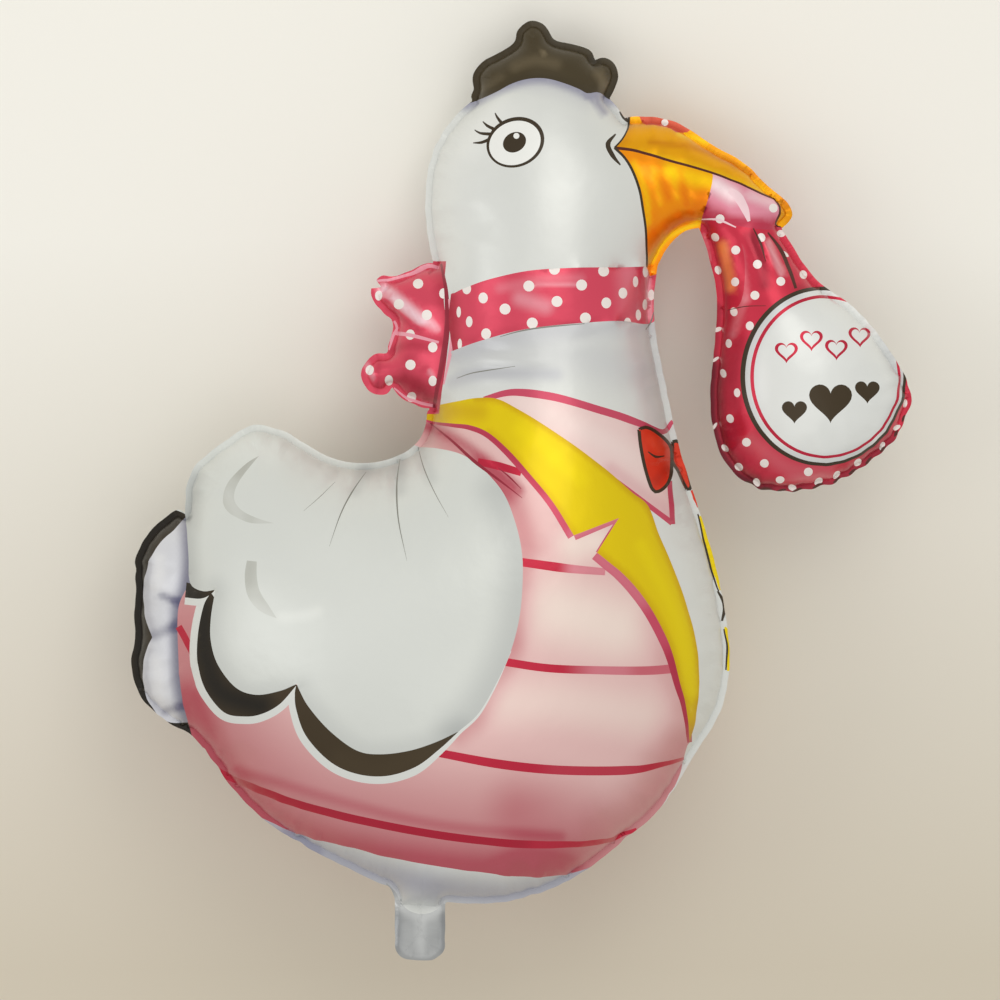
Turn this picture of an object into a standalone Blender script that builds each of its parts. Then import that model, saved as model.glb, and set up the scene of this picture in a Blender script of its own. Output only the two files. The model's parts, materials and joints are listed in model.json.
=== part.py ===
"""Stork foil balloon with a bundle in its beak, lying on its side where it comes to rest.

Two printed sheets of film are heat-sealed together along one outline and blown up through a
flat tail at the bottom.  It is one sealed piece, so it is one solid.  The outline is drawn on a
grid whose unit is a 940th of the figure's height, with x to the right and y down, as on the
printer's sheet.  The solid is worked out in the plane of the seam, with the thickness along z,
and then laid down on the floor, belly and head touching.
"""

import math

import bmesh
import bpy
import numpy as np
from mathutils import Vector
from mathutils.geometry import delaunay_2d_cdt

# Driving dimensions, in metres.
HEIGHT = 0.800  # from the knob of the beret to the end of the fill tail
SEAM_WIDTH = 0.0055  # the welded border round the whole outline
SEAM_THICKNESS = 0.0010  # both films where the border meets the blown part
TAIL_WIDTH = 0.0430  # the flat fill tail
TAIL_LENGTH = 0.048
TAIL_THICKNESS = 0.0030
TAIL_CORNER = 0.014
TAIL_CORNER_STEPS = 5
FLAT_SPOT_DEPTH = 0.0025  # how far the film gives where it touches the floor
FULLNESS = 0.86  # thickness of a blown part, as a share of a perfectly round tube's

# Size of the facets.
OUTLINE_STEP = HEIGHT / 88
BEND_STEP = math.radians(45)  # a bend of this much gets a point more
FACE_STEP = HEIGHT / 54
ROW_DEPTH_KEPT = 0.93  # a row's point goes where the outline turns in and leaves it less depth
POINT_SPACE = 0.3  # least space between points of neighbouring rows, as a share of their depth
FILL_SPACE = 0.55  # least space between the rows and the fill, as a share of the fill's step
WALL_RINGS = (0.0045, 0.0150)  # rows of points that round the side, as distances from the seam

# The drawing grid.
GRID_UNITS = 940
GRID = HEIGHT / GRID_UNITS
GRID_MIDDLE = (520, 490)
CORNER_TURN = math.radians(38)
CURVE_STEP = 4  # grid units between the points of a drawn curve
MERGE_DISTANCE = 1e-7
ON_THE_RIM = 1e-6

# Outlines of the figure's parts.  Each is a ring of stretches: a smooth curve goes through the
# points of a stretch, and stretches meet at corners.
TORSO = (
    [(446, 300), (430, 250), (425, 205), (430, 160), (447, 126), (475, 99), (510, 84), (545, 79),
     (580, 83), (606, 96), (624, 117), (640, 150), (652, 200), (658, 264)],
    [(658, 264), (654, 300), (657, 340), (666, 386), (677, 438), (690, 482), (704, 525),
     (716, 567), (725, 610), (730, 655), (727, 690), (718, 717), (703, 742), (687, 767),
     (671, 795), (650, 819), (626, 839), (591, 867), (556, 887), (521, 899), (486, 904),
     (440, 901), (395, 890), (366, 877), (335, 862), (300, 844), (268, 823), (240, 797),
     (220, 772), (204, 747), (190, 718), (181, 680), (177, 640), (180, 600), (184, 560),
     (185, 515), (186, 488), (194, 467), (210, 452), (229, 438), (246, 427), (262, 425),
     (286, 432), (305, 443), (323, 454), (343, 461), (364, 463), (385, 460), (405, 452),
     (418, 441), (425, 427), (427, 412)],
    [(427, 412), (442, 392), (449, 350), (446, 300)],
)
BERET = (
    [(474, 103), (471, 97), (474, 89)],
    [(474, 89), (472, 78), (475, 70), (486, 59), (504, 50), (514, 42), (517, 31), (524, 23),
     (534, 20), (543, 23), (549, 31), (555, 40), (572, 44), (590, 50), (595, 60)],
    [(595, 60), (604, 57), (613, 62), (619, 73), (616, 87), (607, 103)],
    [(607, 103), (545, 130), (474, 103)],
)
BEAK = (
    [(600, 125), (628, 117)],
    [(628, 117), (645, 116), (663, 118), (680, 123), (698, 135), (720, 149), (745, 163),
     (762, 180), (778, 194), (789, 204), (793, 214), (788, 223), (781, 229)],
    [(781, 229), (742, 250), (699, 228)],
    [(699, 228), (686, 231), (675, 239), (666, 250), (658, 265)],
    [(658, 265), (620, 200), (600, 125)],
)
BUNDLE = (
    [(699, 228), (705, 244), (710, 262), (715, 283), (717, 307), (715, 335), (712, 367),
     (710, 395), (712, 425), (720, 453), (734, 474), (750, 488), (768, 494), (790, 496),
     (812, 492), (832, 487), (850, 479), (867, 468), (882, 457), (896, 443), (907, 425),
     (912, 403), (907, 380), (895, 358), (880, 336), (862, 315), (842, 298), (820, 283),
     (804, 264), (792, 245), (781, 228)],
    [(781, 228), (742, 190), (699, 228)],
)
BOW = (
    [(455, 285), (443, 268), (429, 263), (410, 270), (396, 276), (383, 275), (376, 280)],
    [(376, 280), (381, 287)],
    [(381, 287), (371, 288)],
    [(371, 288), (371, 295), (376, 305), (384, 314), (391, 319), (393, 327), (391, 337),
     (388, 346)],
    [(388, 346), (387, 353), (375, 354), (364, 364), (361, 376), (366, 389), (376, 395),
     (387, 394), (392, 387)],
    [(392, 387), (400, 397), (412, 404), (424, 408), (436, 408)],
    [(436, 408), (470, 345), (455, 285)],
)
TAIL_PLUMES = (
    [(190, 520), (181, 510), (172, 512), (157, 524), (144, 539), (136, 556), (134, 571),
     (136, 590), (134, 612), (135, 638), (131, 661), (134, 681), (142, 699), (155, 713),
     (172, 725), (190, 734), (204, 749)],
    [(204, 749), (240, 640), (190, 520)],
)
FUNNEL = (
    [(372, 880), (384, 885), (392, 892), (397, 906)],
    [(397, 906), (443, 906)],
    [(443, 906), (447, 902), (460, 900)],
    [(460, 900), (420, 860), (372, 880)],
)
PART_OUTLINES = (TORSO, BERET, BEAK, BUNDLE, BOW, TAIL_PLUMES, FUNNEL)

# Where a weld or a printed fold pulls the two sheets together: (points, reach in grid units,
# strength from 0 to 1).
PINCH_STRENGTH = 5760.0  # on a figure one metre high
PINCHES = (
    ([(474, 103), (505, 88), (543, 80), (580, 86), (607, 101)], 9, 0.55),  # beret on the head
    ([(184, 512), (187, 560), (186, 590), (178, 620), (177, 655), (181, 690), (195, 738)], 9, 0.9),
    ([(438, 266), (447, 300), (448, 345), (436, 406)], 9, 0.8),  # bow on the neck
    ([(390, 335), (415, 331), (440, 336)], 9, 0.6),  # between the loops of the bow
    ([(622, 120), (616, 149), (634, 172), (645, 217), (650, 262)], 9, 0.35),  # beak on the head
    ([(625, 150), (676, 162), (727, 179), (775, 198)], 7, 0.25),  # between the jaws
    ([(702, 226), (730, 222), (755, 228), (781, 226)], 8, 0.45),  # bundle under the beak
)
LARGEST_TILT = math.radians(35)
TAIL_PLACE = (420, 904)  # middle of the fill tail where it leaves the belly


def smooth_curve(points, step=CURVE_STEP):
    """Points along a smooth curve through the given ones, about a step apart."""
    ends = [2 * Vector(points[0]) - Vector(points[1]), *map(Vector, points)]
    ends.append(2 * Vector(points[-1]) - Vector(points[-2]))
    made = []
    for before, a, b, after in zip(ends, ends[1:], ends[2:], ends[3:]):
        pieces = max(1, round((b - a).length / step))
        for i in range(pieces):
            t = i / pieces
            bend = (2 * before - 5 * a + 4 * b - after) * t * t
            turn = (3 * a - before - 3 * b + after) * t * t * t
            made.append((2 * a + (b - before) * t + bend + turn) / 2)
    made.append(Vector(points[-1]))
    return made


def on_sheet(point):
    """A grid point as a place on the sheet, in metres."""
    return Vector(((point[0] - GRID_MIDDLE[0]) * GRID, (GRID_MIDDLE[1] - point[1]) * GRID))


def anticlockwise(ring):
    """The ring, turned round if it runs clockwise."""
    area = sum(p.cross(q) for p, q in zip(ring, ring[1:] + ring[:1]))
    return ring if area > 0 else ring[::-1]


def drawn_ring(stretches):
    """One closed ring of places from its stretches."""
    ring = [on_sheet(p) for stretch in stretches for p in smooth_curve(stretch)[:-1]]
    return anticlockwise(ring)


def fill_tail_ring():
    """The flat tail: a strip with round corners that starts well inside the belly."""
    centre = on_sheet(TAIL_PLACE)
    half, root = TAIL_WIDTH / 2, TAIL_LENGTH / 2
    ring = [centre + Vector((half, root)), centre + Vector((-half, root))]
    for side, first in ((-1, 180), (1, 270)):
        middle = centre + Vector((side * (half - TAIL_CORNER), TAIL_CORNER - TAIL_LENGTH))
        for i in range(TAIL_CORNER_STEPS + 1):
            angle = math.radians(first + 90 * i / TAIL_CORNER_STEPS)
            ring.append(middle + TAIL_CORNER * Vector((math.cos(angle), math.sin(angle))))
    return anticlockwise(ring)


def union_outline(rings):
    """The outer edge of overlapping rings, as one ring of points that runs anticlockwise."""
    points = [p for ring in rings for p in ring]
    faces, start = [], 0
    for ring in rings:
        faces.append(list(range(start, start + len(ring))))
        start += len(ring)
    made = delaunay_2d_cdt(points, [], faces, 0, MERGE_DISTANCE, True)
    verts, triangles, owners = made[0], made[2], made[5]
    inner = [t for t, owner in zip(triangles, owners) if owner]
    directed = {(t[i], t[i - 2]) for t in inner for i in range(3)}
    following = {a: b for a, b in directed if (b, a) not in directed}
    loops = []
    while following:
        a, b = following.popitem()
        loop = [a]
        while b != loop[0]:
            loop.append(b)
            b = following.pop(b)
        loops.append([verts[i] for i in loop])
    return anticlockwise(max(loops, key=len))


def even_steps(ring):
    """The ring with its corners kept and its points a step apart, closer where it bends."""
    def turn(i):
        before, after = ring[i] - ring[i - 1], ring[(i + 1) % len(ring)] - ring[i]
        return abs(before.angle_signed(after, 0.0))

    corners = [i for i in range(len(ring)) if turn(i) > CORNER_TURN]
    made = []
    for a, b in zip(corners, corners[1:] + [corners[0] + len(ring)]):
        places = [ring[i % len(ring)] for i in range(a, b + 1)]
        along = [0.0]
        for i, (p, q) in enumerate(zip(places, places[1:]), a):
            bend = turn(i % len(ring)) if i > a else 0.0
            along.append(along[-1] + (q - p).length / OUTLINE_STEP + bend / BEND_STEP)
        count = max(1, round(along[-1]))
        for s in np.linspace(0.0, along[-1], count + 1)[:-1]:
            x = float(np.interp(s, along, [p.x for p in places]))
            y = float(np.interp(s, along, [p.y for p in places]))
            if not made or (Vector((x, y)) - made[-1]).length > OUTLINE_STEP / 4:
                made.append(Vector((x, y)))
    return made


def distance_to_lines(points, starts, ends):
    """For each point, how far the nearest of the given straight pieces is."""
    nearest = np.full(len(points), np.inf)
    for a, b in zip(starts, ends):
        way = b - a
        t = np.clip((points - a) @ way / max(way @ way, 1e-18), 0.0, 1.0)
        nearest = np.minimum(nearest, np.hypot(*(points - a - t[:, None] * way).T))
    return nearest


def inside_ring(points, ring):
    """Which points lie inside a ring."""
    hits = np.zeros(len(points), bool)
    for a, b in zip(ring, np.roll(ring, -1, axis=0)):
        crosses = (a[1] > points[:, 1]) != (b[1] > points[:, 1])
        rise = b[1] - a[1] if b[1] != a[1] else 1.0
        hits ^= crosses & (points[:, 0] < a[0] + (points[:, 1] - a[1]) * (b[0] - a[0]) / rise)
    return hits


def sheet_points(ring):
    """Points of one sheet: the outline, rows beside it that round the side, and an even fill."""
    edge = np.array([p[:] for p in ring])
    ends = np.roll(edge, -1, axis=0)
    way = ends - np.roll(edge, 1, axis=0)
    inward = np.column_stack([-way[:, 1], way[:, 0]]) / np.hypot(*way.T)[:, None]
    points = edge
    for reach in (0.0, *WALL_RINGS):
        depth = SEAM_WIDTH + reach
        row = edge + inward * depth
        row = row[inside_ring(row, edge)]
        row = row[distance_to_lines(row, edge, ends) > ROW_DEPTH_KEPT * depth]
        gaps = np.hypot(*(row[:, None] - points[None]).transpose(2, 0, 1)).min(axis=1)
        points = np.vstack([points, row[gaps > POINT_SPACE * min(depth, FACE_STEP)]])
    low, high = edge.min(axis=0), edge.max(axis=0)
    columns = np.arange(low[0], high[0], FACE_STEP)
    fill = [
        (x + (FACE_STEP / 2 if j % 2 else 0.0), y)
        for j, y in enumerate(np.arange(low[1], high[1], FACE_STEP * math.sqrt(3) / 2))
        for x in columns
    ]
    fill = np.array(fill)
    fill = fill[inside_ring(fill, edge)]
    clear = SEAM_WIDTH + max(WALL_RINGS) + FILL_SPACE * FACE_STEP
    fill = fill[distance_to_lines(fill, edge, ends) > clear]
    return np.vstack([points, fill])


def triangulated(points, rim_count):
    """Triangles of the sheet inside its rim, which is the first points.

    An edge that would cross the sheet from rim to rim gets a point of its own in the middle.
    """
    rim = list(range(rim_count))
    while True:
        flat_points = [Vector(p) for p in points]
        made = delaunay_2d_cdt(flat_points, [], [rim], 0, MERGE_DISTANCE, True)
        places = np.array([v[:] for v in made[0]])
        triangles = np.array([t for t, owner in zip(made[2], made[5]) if owner])
        edges = np.sort(triangles[:, [0, 1, 1, 2, 2, 0]].reshape(-1, 2), axis=1)
        edges, uses = np.unique(edges, axis=0, return_counts=True)
        across = edges[(uses == 2) & (edges[:, 1] < rim_count)]
        if not len(across):
            return places, triangles
        points = np.vstack([points, places[across].mean(axis=1)])


def blown_height(points, triangles, flat):
    """Half the thickness at each point, by the membrane equation with flat points held down."""
    corners = points[triangles]
    area = np.zeros(len(points))
    matrix = np.zeros((len(points), len(points)))
    for k in range(3):
        a, b, c = corners[:, k], corners[:, (k + 1) % 3], corners[:, (k + 2) % 3]
        u, v = b - a, c - a
        twice = np.abs(u[:, 0] * v[:, 1] - u[:, 1] * v[:, 0])
        weight = 0.5 * (u * v).sum(axis=1) / np.maximum(twice, 1e-12)
        i, j = triangles[:, (k + 1) % 3], triangles[:, (k + 2) % 3]
        for p, q in ((i, j), (j, i)):
            np.add.at(matrix, (p, q), -weight)
            np.add.at(matrix, (p, p), weight)
        np.add.at(area, triangles[:, k], twice / 6)
    held = np.zeros(len(points))
    for path, reach, strength in PINCHES:
        line = np.array([on_sheet(p)[:] for p in smooth_curve(path, 8)])
        near = distance_to_lines(points, line[:-1], line[1:]) / (reach * GRID)
        held = np.maximum(held, strength * np.clip(1.0 - near, 0.0, 1.0))
    # The pinch weakens as the square of the size, so that the form keeps its shape at any size.
    matrix[np.diag_indices(len(points))] += PINCH_STRENGTH / HEIGHT**2 * held * area
    free = ~flat
    fullness = np.zeros(len(points))
    fullness[free] = np.linalg.solve(matrix[np.ix_(free, free)], 2.0 * area[free])
    return FULLNESS * np.sqrt(np.maximum(fullness, 0.0))


def balloon_mesh():
    """Both sheets over their common outline, as one closed mesh in the plane of the seam."""
    tail = fill_tail_ring()
    outline = union_outline([drawn_ring(part) for part in PART_OUTLINES] + [tail])
    ring = even_steps(outline)
    edge = np.array([p[:] for p in ring])
    points, triangles = triangulated(sheet_points(ring), len(ring))
    depth = distance_to_lines(points, edge, np.roll(edge, -1, axis=0))
    on_rim = depth < ON_THE_RIM
    in_border = depth < SEAM_WIDTH + ON_THE_RIM
    root = on_sheet(TAIL_PLACE)
    in_tail = (points[:, 1] < root.y) & (np.abs(points[:, 0] - root.x) <= TAIL_WIDTH / 2)
    lift = SEAM_THICKNESS / 2 + blown_height(points, triangles, in_border | in_tail)
    lift[in_border] = SEAM_THICKNESS / 2 * np.minimum(depth[in_border] / SEAM_WIDTH, 1.0)
    lift[in_tail & ~on_rim] = TAIL_THICKNESS / 2
    lift[on_rim] = 0.0

    form = bmesh.new()
    top = [form.verts.new((x, y, z)) for (x, y), z in zip(points, lift)]
    under = [
        v if rim else form.verts.new((v.co.x, v.co.y, -v.co.z)) for v, rim in zip(top, on_rim)
    ]
    for a, b, c in triangles:
        form.faces.new((top[a], top[b], top[c]))
        form.faces.new((under[c], under[b], under[a]))
    bmesh.ops.recalc_face_normals(form, faces=form.faces)
    return form


def middle_of_volume(form):
    """Centre of the volume of a closed mesh of triangles."""
    total, moment = 0.0, Vector()
    for face in form.faces:
        a, b, c = (v.co for v in face.verts)
        volume = a.dot(b.cross(c))
        total += volume
        moment += volume * (a + b + c) / 4
    return moment / total


def lay_down(form):
    """Turns the balloon as it rests on its side, flattens what touches and sets it at z = 0."""
    middle = middle_of_volume(form)
    hull = form.copy()
    made = bmesh.ops.convex_hull(hull, input=hull.verts)
    skin = [f for f in made["geom"] if isinstance(f, bmesh.types.BMFace)]
    below = [f for f in skin if f.normal.z < -math.cos(LARGEST_TILT)]
    rest = min(below, key=lambda f: f.normal.dot(f.verts[0].co - middle))
    turn = rest.normal.rotation_difference(Vector((0, 0, -1))).to_matrix()
    hull.free()
    bmesh.ops.rotate(form, cent=middle, matrix=turn, verts=form.verts)
    floor = min(v.co.z for v in form.verts) + FLAT_SPOT_DEPTH
    for v in form.verts:
        v.co.z = max(v.co.z, floor)
    low = Vector(min(v.co[i] for v in form.verts) for i in range(3))
    high = Vector(max(v.co[i] for v in form.verts) for i in range(3))
    shift = Vector((-(low.x + high.x) / 2, -(low.y + high.y) / 2, -low.z))
    bmesh.ops.translate(form, vec=shift, verts=form.verts)


def film_material():
    """Satin white film, the ground colour of the print."""
    film = bpy.data.materials.new("printed_film")
    film.use_nodes = True
    shader = film.node_tree.nodes["Principled BSDF"]
    shader.inputs["Base Color"].default_value = (0.74, 0.77, 0.76, 1.0)
    shader.inputs["Roughness"].default_value = 0.32
    shader.inputs["Metallic"].default_value = 0.0
    film.diffuse_color = (0.74, 0.77, 0.76, 1.0)
    return film


def main():
    for old in list(bpy.data.objects):
        bpy.data.objects.remove(old)
    form = balloon_mesh()
    lay_down(form)
    mesh = bpy.data.meshes.new("stork_balloon")
    form.to_mesh(mesh)
    form.free()
    mesh.shade_smooth()
    mesh.set_sharp_from_angle(angle=math.radians(50))
    mesh.materials.append(film_material())
    balloon = bpy.data.objects.new("stork_balloon", mesh)
    bpy.context.scene.collection.objects.link(balloon)


main()
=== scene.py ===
"""Looks of the stork foil balloon: the printed film with its welded border, pleats and folds."""

import json
import math

import bmesh
import bpy
import numpy as np
from mathutils import Matrix, Vector
from mathutils.geometry import delaunay_2d_cdt
from mathutils.kdtree import KDTree


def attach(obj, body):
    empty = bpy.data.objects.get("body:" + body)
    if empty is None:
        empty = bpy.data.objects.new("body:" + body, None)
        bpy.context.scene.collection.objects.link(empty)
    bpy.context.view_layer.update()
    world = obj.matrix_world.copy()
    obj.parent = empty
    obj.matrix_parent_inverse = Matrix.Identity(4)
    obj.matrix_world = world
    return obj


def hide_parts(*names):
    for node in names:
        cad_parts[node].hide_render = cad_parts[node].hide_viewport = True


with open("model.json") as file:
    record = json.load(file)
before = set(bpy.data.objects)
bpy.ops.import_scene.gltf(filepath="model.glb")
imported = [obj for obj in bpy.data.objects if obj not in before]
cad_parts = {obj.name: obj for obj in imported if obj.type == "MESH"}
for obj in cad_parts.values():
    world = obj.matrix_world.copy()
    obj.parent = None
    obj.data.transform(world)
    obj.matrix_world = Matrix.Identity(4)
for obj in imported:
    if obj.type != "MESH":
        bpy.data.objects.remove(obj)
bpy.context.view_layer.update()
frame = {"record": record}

MM = 0.001

# Sizes of the balloon, in metres.
HEIGHT = 0.800
SEAM_WIDTH = 5.5 * MM
SEAM_THICKNESS = 0.9 * MM
TAIL_WIDTH = 43 * MM
TAIL_LENGTH = 48 * MM
TAIL_THICKNESS = 3 * MM
TAIL_CORNER = 14 * MM
FULLNESS = 0.86  # of the height that the membrane equation gives

# The drawing grid: x to the right and y down, a 940th of the height to a unit.
GRID = HEIGHT / 940
GRID_MIDDLE = Vector((520, 490))
CURVE_STEP = 3.2
TAIL_PLACE = (420, 904)

# The picture, on the same grid, and how far off its camera stands, in metres.
PICTURE_MIDDLE = (500, 500)
PICTURE_WIDTH = 1000
CAMERA_DISTANCE = 10.0

# Size of the mesh.
SEAM_STEP = 2.2 * MM
FILL_STEP = 3.6 * MM
ROW_DEPTHS = [depth * MM for depth in (2.6, 5.5, 6.2, 7.4, 9.2, 11.6, 14.6)]
ROW_DEPTH_KEPT = 0.96  # share of a row's depth that its points keep where the rim is narrow
FILL_SPACE = 0.6 * FILL_STEP
LINE_SPACE = 0.9 * MM
MERGE_DISTANCE = 2e-6
SHARP_EDGE = 62  # degrees

# Film that is gathered at the weld, at random and at the places where the print shows it.
PLEAT_SEED = 52
PLEAT_SPACING = (11 * MM, 27 * MM)
PLEAT_LENGTH = (14 * MM, 62 * MM)
PLEAT_WIDTH = 2.4 * MM
PLEAT_DEPTH = 0.30  # as a share of the half thickness
PLEAT_DRAW = 0.9 * MM  # how far a pleat draws the edge in
DEEPEST_PLEAT = 1.2 * MM
PLEAT_SLANT = 0.3  # from 0, where a pleat sinks straight down, to 1, square to the film
SHARPEST_PIT = 0.8 * MM

# A pleat is at its strongest where the outline bulges out, which is felt over this length.
BEND_REACH = 12 * MM
STRAIGHT_STRENGTH = 0.62
STRENGTH_PER_BEND = 1.5
STRENGTH_LIMITS = (0.22, 1.0)

# The room that a pleat has before it meets the far side, felt in steps, and its share of it.
FIRST_ROOM = 8 * MM
ROOM_STEP = 4 * MM
ROOM_CLEAR = 0.86
ROOM_SHARE = 0.62

# Pleats that the print shows: width, depth as a share, and how far they draw the edge in.
SCALLOP = (3.4 * MM, 0.40, 3.6 * MM)
TICK = (2.4 * MM, 0.42, 1.2 * MM)
SHOWN_PLEAT_LENGTH = 26 * MM

# How a pleat's form spreads with the depth, and how soon its wave and its draw die out.
PLEAT_SPREAD = 0.16
GATHER_LIMITS = (-0.2, 0.55)
WAVE_HEIGHT = 1.5 * MM
WAVE_DEPTH = 9 * MM
DRAW_DEPTH = 10 * MM

# Edges of the flat parts: the weld's outer edge and the fill tail's edge are rounded this far in.
WELD_ROUND = 1.2 * MM
TAIL_ROUND = 2.4 * MM
TAIL_WAVE = 0.9 * MM

# The floor lies this far under the flat spots, so that the two never share a plane.
FLOOR_GAP = 0.3 * MM

# Outlines of the figure's parts, on the grid: rings of smooth stretches that meet at corners.
TORSO = (
    [(446, 300), (430, 250), (425, 205), (430, 160), (447, 126), (475, 99), (510, 84), (545, 79),
     (580, 83), (606, 96), (624, 117), (640, 150), (652, 200), (658, 264)],
    [(658, 264), (654, 300), (657, 340), (666, 386), (677, 438), (690, 482), (704, 525),
     (716, 567), (725, 610), (730, 655), (727, 690), (718, 717), (703, 742), (687, 767),
     (671, 795), (650, 819), (626, 839), (591, 867), (556, 887), (521, 899), (486, 904),
     (440, 901), (395, 890), (366, 877), (335, 862), (300, 844), (268, 823), (240, 797),
     (220, 772), (204, 747), (190, 718), (181, 680), (177, 640), (180, 600), (184, 560),
     (185, 515), (186, 488), (194, 467), (210, 452), (229, 438), (246, 427), (262, 425),
     (286, 432), (305, 443), (323, 454), (343, 461), (364, 463), (385, 460), (405, 452),
     (418, 441), (425, 427), (427, 412)],
    [(427, 412), (442, 392), (449, 350), (446, 300)],
)
BERET = (
    [(474, 103), (471, 97), (474, 89)],
    [(474, 89), (472, 78), (475, 70), (486, 59), (504, 50), (514, 42), (517, 31), (524, 23),
     (534, 20), (543, 23), (549, 31), (555, 40), (572, 44), (590, 50), (595, 60)],
    [(595, 60), (604, 57), (613, 62), (619, 73), (616, 87), (607, 103)],
    [(607, 103), (545, 130), (474, 103)],
)
BEAK = (
    [(600, 125), (628, 117)],
    [(628, 117), (645, 116), (663, 118), (680, 123), (698, 135), (720, 149), (745, 163),
     (762, 180), (778, 194), (789, 204), (793, 214), (788, 223), (781, 229)],
    [(781, 229), (742, 250), (699, 228)],
    [(699, 228), (686, 231), (675, 239), (666, 250), (658, 265)],
    [(658, 265), (620, 200), (600, 125)],
)
BUNDLE = (
    [(699, 228), (705, 244), (710, 262), (715, 283), (717, 307), (715, 335), (712, 367),
     (710, 395), (712, 425), (720, 453), (734, 474), (750, 488), (768, 494), (790, 496),
     (812, 492), (832, 487), (850, 479), (867, 468), (882, 457), (896, 443), (907, 425),
     (912, 403), (907, 380), (895, 358), (880, 336), (862, 315), (842, 298), (820, 283),
     (804, 264), (792, 245), (781, 228)],
    [(781, 228), (742, 190), (699, 228)],
)
BOW = (
    [(455, 285), (443, 268), (429, 263), (410, 270), (396, 276), (383, 275), (376, 280)],
    [(376, 280), (381, 287)],
    [(381, 287), (371, 288)],
    [(371, 288), (371, 295), (376, 305), (384, 314), (391, 319), (393, 327), (391, 337),
     (388, 346)],
    [(388, 346), (387, 353), (375, 354), (364, 364), (361, 376), (366, 389), (376, 395),
     (387, 394), (392, 387)],
    [(392, 387), (400, 397), (412, 404), (424, 408), (436, 408)],
    [(436, 408), (470, 345), (455, 285)],
)
TAIL_PLUMES = (
    [(190, 520), (181, 510), (172, 512), (157, 524), (144, 539), (136, 556), (134, 571),
     (136, 590), (134, 612), (135, 638), (131, 661), (134, 681), (142, 699), (155, 713),
     (172, 725), (190, 734), (204, 749)],
    [(204, 749), (240, 640), (190, 520)],
)
FUNNEL = (
    [(372, 880), (384, 885), (392, 892), (397, 906)],
    [(397, 906), (443, 906)],
    [(443, 906), (447, 902), (460, 900)],
    [(460, 900), (420, 860), (372, 880)],
)
PART_OUTLINES = (TORSO, BERET, BEAK, BUNDLE, BOW, TAIL_PLUMES, FUNNEL)

# Lines where a weld or a printed fold pulls the two sheets together: reach in grid units, and
# strength from 0 to 1.
PINCH_STRENGTH = 9000.0
PINCH_HEIGHT = 0.8  # the height of balloon that this strength is for, in metres
PINCHES = (
    ([(474, 103), (505, 88), (543, 80), (580, 86), (607, 101)], 9, 0.55),
    ([(184, 512), (187, 560), (186, 590), (178, 620), (177, 655), (181, 690), (195, 738)], 9, 0.9),
    ([(438, 266), (447, 300), (448, 345), (436, 406)], 9, 0.8),
    ([(390, 335), (415, 331), (440, 336)], 9, 0.6),
    ([(622, 120), (616, 149), (634, 172), (645, 217), (650, 262)], 9, 0.35),
    ([(625, 150), (676, 162), (727, 179), (775, 198)], 7, 0.25),
    ([(702, 226), (730, 222), (755, 228), (781, 226)], 8, 0.45),
)

# Long folds that show in the film: points, depth in millimetres, half width in grid units.
FOLDS = (
    ([(367, 466), (346, 506), (330, 547)], 2.2, 4),
    ([(399, 456), (396, 503), (407, 561)], 2.4, 4),
    ([(418, 445), (432, 485), (452, 517)], 2.4, 4),
    ([(345, 463), (335, 479), (305, 511)], 1.8, 4),
    ([(427, 417), (470, 452), (524, 495)], 3.0, 4),
    ([(449, 381), (480, 370), (555, 372)], 2.0, 4),
    ([(447, 340), (500, 352), (560, 350)], 1.4, 4),
    ([(656, 300), (610, 330), (560, 345)], 1.4, 4),
    ([(766, 232), (778, 250), (788, 267), (796, 288)], 2.6, 3.5),
    ([(756, 234), (765, 261), (769, 278)], 2.2, 3.5),
    ([(716, 300), (726, 262), (730, 240)], 1.8, 3.5),
    ([(702, 225), (690, 205), (684, 180)], 1.6, 3),
    ([(690, 228), (672, 200), (660, 175)], 1.6, 3),
    ([(676, 236), (656, 205), (645, 178)], 1.4, 3),
    ([(300, 843), (306, 815), (318, 790)], 1.8, 4),
    ([(386, 884), (388, 850), (396, 820)], 2.0, 4),
    ([(433, 900), (432, 870), (440, 840)], 2.0, 4),
    ([(531, 896), (527, 866), (518, 840)], 1.8, 4),
    ([(592, 866), (574, 838), (560, 812)], 2.2, 4),
    ([(627, 838), (604, 812), (590, 784)], 2.2, 4),
    ([(652, 817), (628, 792), (606, 778)], 2.0, 4),
    ([(680, 778), (655, 760), (628, 752)], 1.8, 4),
    ([(135, 575), (150, 590), (175, 597)], 1.6, 3.5),
    ([(133, 640), (155, 632), (178, 622)], 1.8, 3.5),
    ([(140, 695), (158, 690), (180, 688)], 1.4, 3.5),
)


def smooth_curve(points, step=CURVE_STEP):
    """Points along a smooth curve through the given ones, about a step apart."""
    ends = [2 * Vector(points[0]) - Vector(points[1]), *map(Vector, points)]
    ends.append(2 * Vector(points[-1]) - Vector(points[-2]))
    made = []
    for before, a, b, after in zip(ends, ends[1:], ends[2:], ends[3:]):
        pieces = max(1, round((b - a).length / step))
        for i in range(pieces):
            t = i / pieces
            bend = (2 * before - 5 * a + 4 * b - after) * t * t
            turn = (3 * a - before - 3 * b + after) * t * t * t
            made.append((2 * a + (b - before) * t + bend + turn) / 2)
    made.append(Vector(points[-1]))
    return made


def on_sheet(point):
    """A grid point as a place on the flat sheet, in metres."""
    return Vector(((point[0] - GRID_MIDDLE.x) * GRID, (GRID_MIDDLE.y - point[1]) * GRID))


def anticlockwise(ring):
    """The ring, turned round if it runs clockwise."""
    area = sum(p.cross(q) for p, q in zip(ring, ring[1:] + ring[:1]))
    return ring if area > 0 else ring[::-1]


def patch(*stretches):
    """One closed ring on the sheet from its smooth stretches on the grid."""
    return anticlockwise([on_sheet(p) for stretch in stretches for p in smooth_curve(stretch)[:-1]])


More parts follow.
